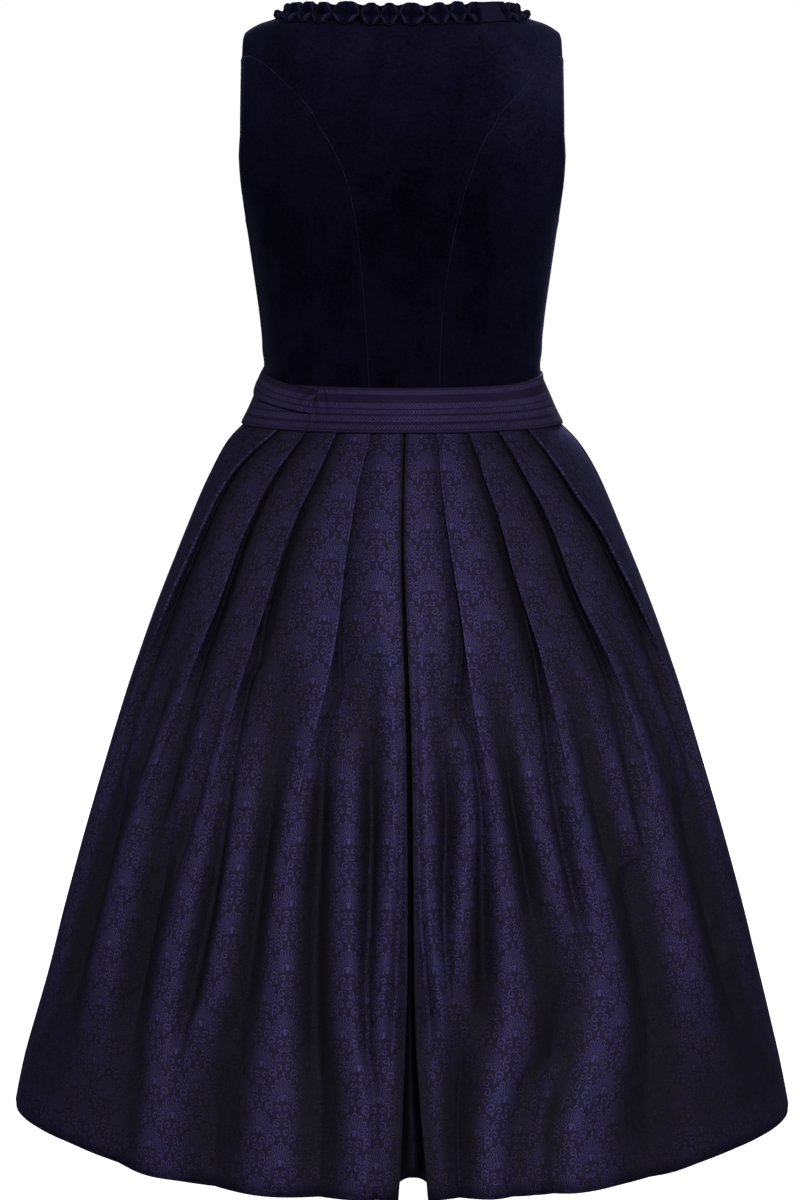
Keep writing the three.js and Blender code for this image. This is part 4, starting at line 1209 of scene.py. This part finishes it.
def front_half(z):
    """Half of a front section, with plain pleats under the apron: (degrees, out in mm, painted shade in the
    valleys).
    """
    opened, fold, half = OPENING("open", z), SKIRT("fold", z), SKIRT("half", z)
    edges = [0] + [mix(FOLDS["left"](name, z), FOLDS["right"](name, z), 0.5) for name in SIDE_EDGES] + [90]
    tuck = max(0.3, math.degrees(OPENING("under", z) / half))
    stations = []
    for k, (here, there) in enumerate(zip(edges, edges[1:])):
        end = mix(there - tuck, mix(here, there, 0.6), opened) if k < SIDE else there
        high = 1 if k else 0.35
        low = LOWEST if k < SIDE else 0
        for t in steps(9)[:-1]:
            height = mix(high, low, mix(t ** 1.8, smooth(0, 1, t), opened))
            stations.append((mix(here, end, t), height * fold, smooth(0.25, LOWEST, height)))
        if k < SIDE:
            for t in steps(5)[:-1]:
                height = mix(low, 1, mix(t, smooth(0, 1, t), opened))
                stations.append((mix(end, there, t), height * fold, smooth(0.25, LOWEST, height)))
    stations.append((90, 0, 0))
    return stations


def make_skirt_front():
    rows = skirt_rows(FRONT_ROWS)
    length = run_up(SKIRT, "front", rows)
    grid, across = [], []
    for z, up in zip(rows, length):
        section = front_half(z)
        points, run = lay_along(section, z, FRONT, SKIRT)
        across.append(2 * run[-1])
        hem_line = stitched_hem(up, 1.5)
        halves = {}
        for side, hand in HANDS:
            drop = hung(z, 90, side) - z
            row = []
            for point, along, (angle, _, hollow) in zip(points, run, section):
                inwards = side_pull(z, angle) if side == "left" else 0
                place = (hand * (point.x - inwards), point.y, z + drop * smooth(20, 90, angle))
                # Painted shade in the pleats' valleys and round the sides.
                mark = (0, max(hollow, side_shade(side, z, angle)), hem_line)
                row.append((place, (hand * along, up), mark))
            halves[side] = row
        grid.append(halves["left"][:0:-1] + halves["right"])
    piece = cloth("damask_skirt_front", "skirt_front", DAMASK, [grid], DAMASK_WALL)
    return piece, flat_cut(across, length)


# ---- band, apron and bow ----
def round_point(table, degrees, z, out):
    """A point of a ring, turned from the centre back towards the wearer's right all the way round."""
    angle = math.radians(degrees)
    half, depth = table("half", z), table("back" if math.cos(angle) > 0 else "front", z)
    x, y = half * math.sin(angle), -depth * math.cos(angle)
    normal = Vector((x / half ** 2, y / depth ** 2)).normalized()
    return Vector((x + normal.x * out, y + normal.y * out, z))


BAND_END, BAND_SIDE = -36, 104
BAND_RISE, BAND_PER_DEGREE, BAND_WALL = 6, 2.25, 1.2
TIE_FROM, TIE_TO = -35.5, -96
TIE_BOTTOM, TIE_HEIGHT, TIE_RISE, TIE_WALL = -362, 22.5, 15.5, 1.0


def both_edges(share, width):
    """How near a share of the ribbon's height is to either of its edges."""
    return bell(share, width) + bell(share - 1, width)


def band_piece(name, node, first, last, columns):
    grid = []
    for share in steps(18):
        row = []
        for t in steps(columns):
            turn = mix(first, last, t)
            rise = BAND_RISE * smooth(40, 95, turn) * smooth(150, BAND_SIDE, turn)
            z = mix(BAND_BOTTOM, BAND_TOP + rise, share)
            near_tie = bell(turn - (BAND_END + 3), 7) * bell(share - 0.62, 0.35)
            ripple = 0.35 * math.sin(turn * 0.21 + share * 3.1) * math.sin(share * math.pi)
            pucker = math.sin(turn * 1.3 + share * 9)
            pinch = near_tie * (pucker * 0.9)
            lip = -0.5 * both_edges(share, 0.04)
            end = bell(turn - first, 0.5) if first == BAND_END else 0
            point = round_point(BAND, turn, z, 0.3 + ripple + pinch + lip)
            # Painted shade in the puckers beside the tie and at the band's end by the tie.
            crease_shade = clamp(near_tie * 0.8 * max(0, -pucker) + end)
            place = (turn * BAND_PER_DEGREE, share * RIBBON_WIDE)
            row.append((point, place, (both_edges(share, 0.05), crease_shade, 0)))
        grid.append(row)
    return cloth(name, node, RIBBON, [grid], BAND_WALL)


def tie_piece():
    grid = []
    for v in steps(12):
        row = []
        for t in steps(60):
            turn = mix(TIE_FROM, TIE_TO, t)
            z = TIE_BOTTOM + TIE_RISE * t + TIE_HEIGHT * v
            fold = math.sin(v * math.pi * 2.2 + t * 2.5) * 0.7 * (1 - 0.4 * t)
            start = 1 - smooth(0.0, 0.1, t)
            crinkle = math.sin(t * 70 + v * 8) * 0.7 * bell(t - 0.07, 0.06)
            puff = 1.9 * math.sin(v * math.pi) ** 0.6
            lean = 4.4 * smooth(0.35, 1, v) * smooth(0.3, 0.95, t)
            out = 1.9 + puff * (1 - start) + fold * 0.6 + crinkle - 1.5 * start - lean
            # Painted shade along the tie's lower edge and in its crinkles and folds.
            crease_shade = clamp(bell(v, 0.07) * 0.9 + max(0, -crinkle) * 0.9 + max(0, -fold) * 0.25)
            place = (t * 130, 9 + v * 24)
            row.append((round_point(BAND, turn, z, out), place, (bell(v - 1, 0.05), crease_shade, 0)))
        grid.append(row)
    return cloth("ribbon_tie", "tie_strip", RIBBON, [grid], TIE_WALL)


APRON_FOLDS, APRON_TUCKS = 9, 54
APRON_COLUMNS, APRON_ROWS, APRON_COLUMN = 324, 84, 3.3
APRON_STITCH, APRON_SIDE_STITCH, APRON_WALL = 30, 9, 1.0


def make_apron():
    rows = [mix(APRON_HEM, APRON_TOP, share ** 0.9) for share in steps(APRON_ROWS)]
    grid = []
    for z, up in zip(rows, run_up(APRON, "front", rows)):
        gathered = smooth(-560, -385, z)
        points, marks = [], []
        for t in steps(APRON_COLUMNS):
            turn = mix(BAND_SIDE, 360 - BAND_SIDE, t)
            folds = APRON("wave", z) * (0.5 - 0.5 * math.cos(t * APRON_FOLDS * 2 * math.pi))
            drift = 1.1 * math.sin(t * 31 + z * 0.004) + 0.8 * math.sin(t * 53 - z * 0.006)
            tucks = abs(math.sin(t * math.pi * APRON_TUCKS + 0.6 * math.sin(t * 40)))
            out = folds * (1 - 0.3 * gathered) + drift * (1 - gathered) + tucks * 1.9 * gathered
            side = smooth(0, 0.012, t) * smooth(1, 0.988, t)
            close = 2.2 * (smooth(0.1, 0, t) + smooth(0.9, 1, t))
            point = round_point(APRON, turn, z, out + 0.3 * (1 - side) - close)
            if turn > 180:
                point.x += side_pull(z, turn - 180)
            points.append(point)
            from_side = min(t, 1 - t) * APRON_COLUMNS * APRON_COLUMN
            line = bell(up - APRON_STITCH, 0.9) + bell(from_side - APRON_SIDE_STITCH, 0.9)
            line = clamp(line + 0.6 * bell(up, 1.6) + 0.5 * bell(from_side, 1))
            # Painted shade between the tucks and in the folds' hollows, and a painted highlight on the tucks'
            # crests.
            hollow = (1 - tucks) ** 2 * gathered + 0.5 * (1 - folds / 9.1) * (1 - gathered) * 0.6
            marks.append((tucks ** 6 * gathered * 0.6, clamp(hollow), line))
        places = [(where, up) for where in run_along(points)]
        grid.append(list(zip(points, places, marks)))
    return cloth("satin_apron", "apron", SATIN, [grid], APRON_WALL)


BOW_TURN, BOW_HEIGHT, BOW_WALL = 206, -356, 0.9
LOOP, TAIL, TAIL_TOP, RIBBON_HALF = 62, 330, 13, 19
STAND, KNOT_HALF, KNOT_HEIGHT = 9, 9, 13


def drape(name, z):
    """What the bow hangs over: the band, and below it the apron's folds."""
    if z > BAND_BOTTOM + 1:
        return BAND(name, z)
    return APRON(name, z) + (APRON("wave", z) if name in ("half", "front") else 0)


def bow_point(along, z, out):
    """A point so far along from the bow's middle and out from what it hangs over."""
    radius = mix(drape("half", z), drape("front", z), 0.5)
    return round_point(drape, BOW_TURN + math.degrees(along / radius), z, out)


def bow_loop(side, hand):
    bend = []
    for t in steps(60):
        half = mix(0.004, 1.996, t) * QUARTER
        along = KNOT_HALF - 2.6 + LOOP * math.sin(half) ** 0.6
        out = STAND + 5 * signed_power(-math.cos(half), 0.7) + 3 * max(0, -math.sin(2 * half))
        bend.append((along, out))
    line = evenly(bend, 54)
    middle = RIBBON_WIDE / 2
    grid = []
    for share_up in steps(14):
        v = 2 * share_up - 1
        row = []
        run = 0
        for i, (along, out) in enumerate(line):
            run += math.dist(line[i - 1], line[i]) if i else 0
            share = smooth(KNOT_HALF, KNOT_HALF + 28, along)
            gather = (1 - share) * math.cos(v * 13) * 0.9
            z = BOW_HEIGHT + v * mix(KNOT_HEIGHT - 3, RIBBON_HALF, share) - 8 * (along / LOOP) ** 2
            point = bow_point(hand * along, z, out + gather * 0.7 + 0.4 * math.sin(along * 0.12 + v))
            # Painted shade in the hollows of the gathers by the knot.
            row.append((point, (run, middle + v * middle), (bell(abs(v) - 1, 0.08), clamp(-gather), 0)))
        grid.append(row)
    return cloth(f"ribbon_loop_{side}", f"bow_loop_{side}", RIBBON, [grid], BOW_WALL)


def bow_tail(side, hand):
    grid = []
    start = BOW_HEIGHT - KNOT_HEIGHT - 0.8
    for t in steps(84):
        row = []
        spread = min(1, t * 3.5)
        width = mix(TAIL_TOP, 2 * RIBBON_HALF, smooth(0, 1, spread))
        near = mix(0.5, 7, t)
        for u in steps(14):
            z = start - t * (TAIL + hand * 14 + (u - 0.5) * 26 * t)
            gather = (1 - spread) * math.cos(u * 20) * 0.8
            out = 2.8 + 2.4 * spread * math.sin(t * 7 + hand) ** 2 + gather
            out += 1.2 * math.sin(u * 5 + t * 9) * spread
            point = bow_point(hand * (near + u * width), z, out)
            # Painted shade in the hollows of the gathers at the tail's top.
            row.append((point, (t * TAIL, u * RIBBON_WIDE), (both_edges(u, 0.05), clamp(-gather), 0)))
        grid.append(row)
    return cloth(f"ribbon_tail_{side}", f"bow_tail_{side}", RIBBON, [grid], BOW_WALL)


def bow_knot():
    mesh = bmesh.new()
    marks = mesh.verts.layers.float_color.new("marks")
    bmesh.ops.create_uvsphere(mesh, u_segments=40, v_segments=24, radius=1, calc_uvs=True)
    uv = mesh.loops.layers.uv.verify()
    for vertex in mesh.verts:
        x, y, z = vertex.co
        pleats = 0.35 * math.cos(x * 16 + 2 * z)
        x, y_full, z = (signed_power(value, 0.7) for value in (x, y, z))
        out = 0.3 + (1 + y_full) * STAND + pleats * max(0, y)
        vertex.co = bow_point(x * KNOT_HALF, BOW_HEIGHT + z * KNOT_HEIGHT, out) * MM
        # Painted shade in the knot's pleats.
        vertex[marks] = (0, clamp(-pleats * 2), 0, 1)
    for face in mesh.faces:
        face.smooth = True
        for loop in face.loops:
            loop[uv].uv = (loop[uv].uv[0] * 0.03, loop[uv].uv[1] * 0.041)
    bmesh.ops.recalc_face_normals(mesh, faces=mesh.faces)
    piece = finished("ribbon_knot", mesh, ["bow_knot"], RIBBON)
    piece.data.uv_layers[0].name = "cloth"
    return piece


# ---- make ----
bodice = make_bodice()
trims = make_trims()
skirts = {"back": make_skirt_back(), "front": make_skirt_front()}
bands = [
    band_piece("ribbon_band_back", "band_back", BAND_END, BAND_SIDE, 150),
    band_piece("ribbon_band_left", "band_left", -BAND_SIDE, BAND_END, 76),
    band_piece("ribbon_band_front", "band_front", BAND_SIDE, 360 - BAND_SIDE, 150),
]
tie = tie_piece()
apron = make_apron()
bow = [bow_loop(side, hand) for side, hand in HANDS] + [bow_tail(side, hand) for side, hand in HANDS]
knot = bow_knot()

# A length for each neck trim, which nothing uses.
for key, piece in trims.items():
    length = 0.33 if key == "back" else 0.25
    length * 1.6


# ---- floor, light and camera ----
FLOOR_LEVEL, ROOM = -1.25, 20


def make_stage():
    """A pale floor that runs up into a round room of the same colour, so every view has the same ground."""
    mesh = bmesh.new()
    bmesh.ops.create_uvsphere(mesh, u_segments=64, v_segments=48, radius=ROOM)
    for vertex in mesh.verts:
        vertex.co.z = max(vertex.co.z, FLOOR_LEVEL)
    bmesh.ops.remove_doubles(mesh, verts=mesh.verts, dist=1e-4)
    bmesh.ops.recalc_face_normals(mesh, faces=mesh.faces)
    bmesh.ops.reverse_faces(mesh, faces=mesh.faces)
    data = bpy.data.meshes.new("pale_floor")
    mesh.to_mesh(data)
    mesh.free()
    floor = bpy.data.objects.new("pale_floor", data)
    bpy.context.scene.collection.objects.link(floor)
    f = Finish("pale_floor")
    data.materials.append(f.close(base_color=tone(0.6, 0.6, 0.61), roughness=0.9, specular_ior_level=0.0,
                                  emission_color=tone(1, 1, 1), emission_strength=0.93))
    floor.visible_glossy = floor.visible_diffuse = False


def area_light(name, place, target, size, power):
    light = bpy.data.lights.new(name, "AREA")
    light.shape, light.size, light.energy = "DISK", size, power
    made = bpy.data.objects.new(name, light)
    made.location = place
    made.rotation_euler = (Vector(target) - Vector(place)).to_track_quat("-Z", "Y").to_euler()
    bpy.context.scene.collection.objects.link(made)


make_stage()
area_light("key", (0.55, -3.9, 1.0), (0, 0, -0.55), 1.1, 88)
area_light("fill", (-2.4, -2.8, 0.2), (0, 0, -0.6), 2.0, 8)
area_light("right_edge", (3.0, -0.6, 0.4), (0, 0, -0.4), 1.4, 24)
area_light("left_edge", (-3.0, -0.4, 0.4), (0, 0, -0.4), 1.4, 18)
area_light("front_side", (0.6, 3.6, 1.2), (0, 0, -0.5), 2.0, 95)

world = bpy.data.worlds.new("pale_room")
world.use_nodes = True
background = world.node_tree.nodes["Background"]
background.inputs["Color"].default_value = (1, 1, 1, 1)
background.inputs["Strength"].default_value = 0.12
bpy.context.scene.world = world
bpy.context.scene.view_settings.view_transform = "Standard"

CAMERA_PLACE, CAMERA_DOWN, LENS, SENSOR = (-0.002, -4, 0), 7.757, 128.85, 36

view = bpy.data.cameras.new("camera")
view.sensor_width, view.lens = SENSOR, LENS
camera = bpy.data.objects.new("camera", view)
camera.location = CAMERA_PLACE
camera.rotation_euler = (QUARTER - math.radians(CAMERA_DOWN), 0, 0)
bpy.context.scene.collection.objects.link(camera)
bpy.context.scene.camera = camera
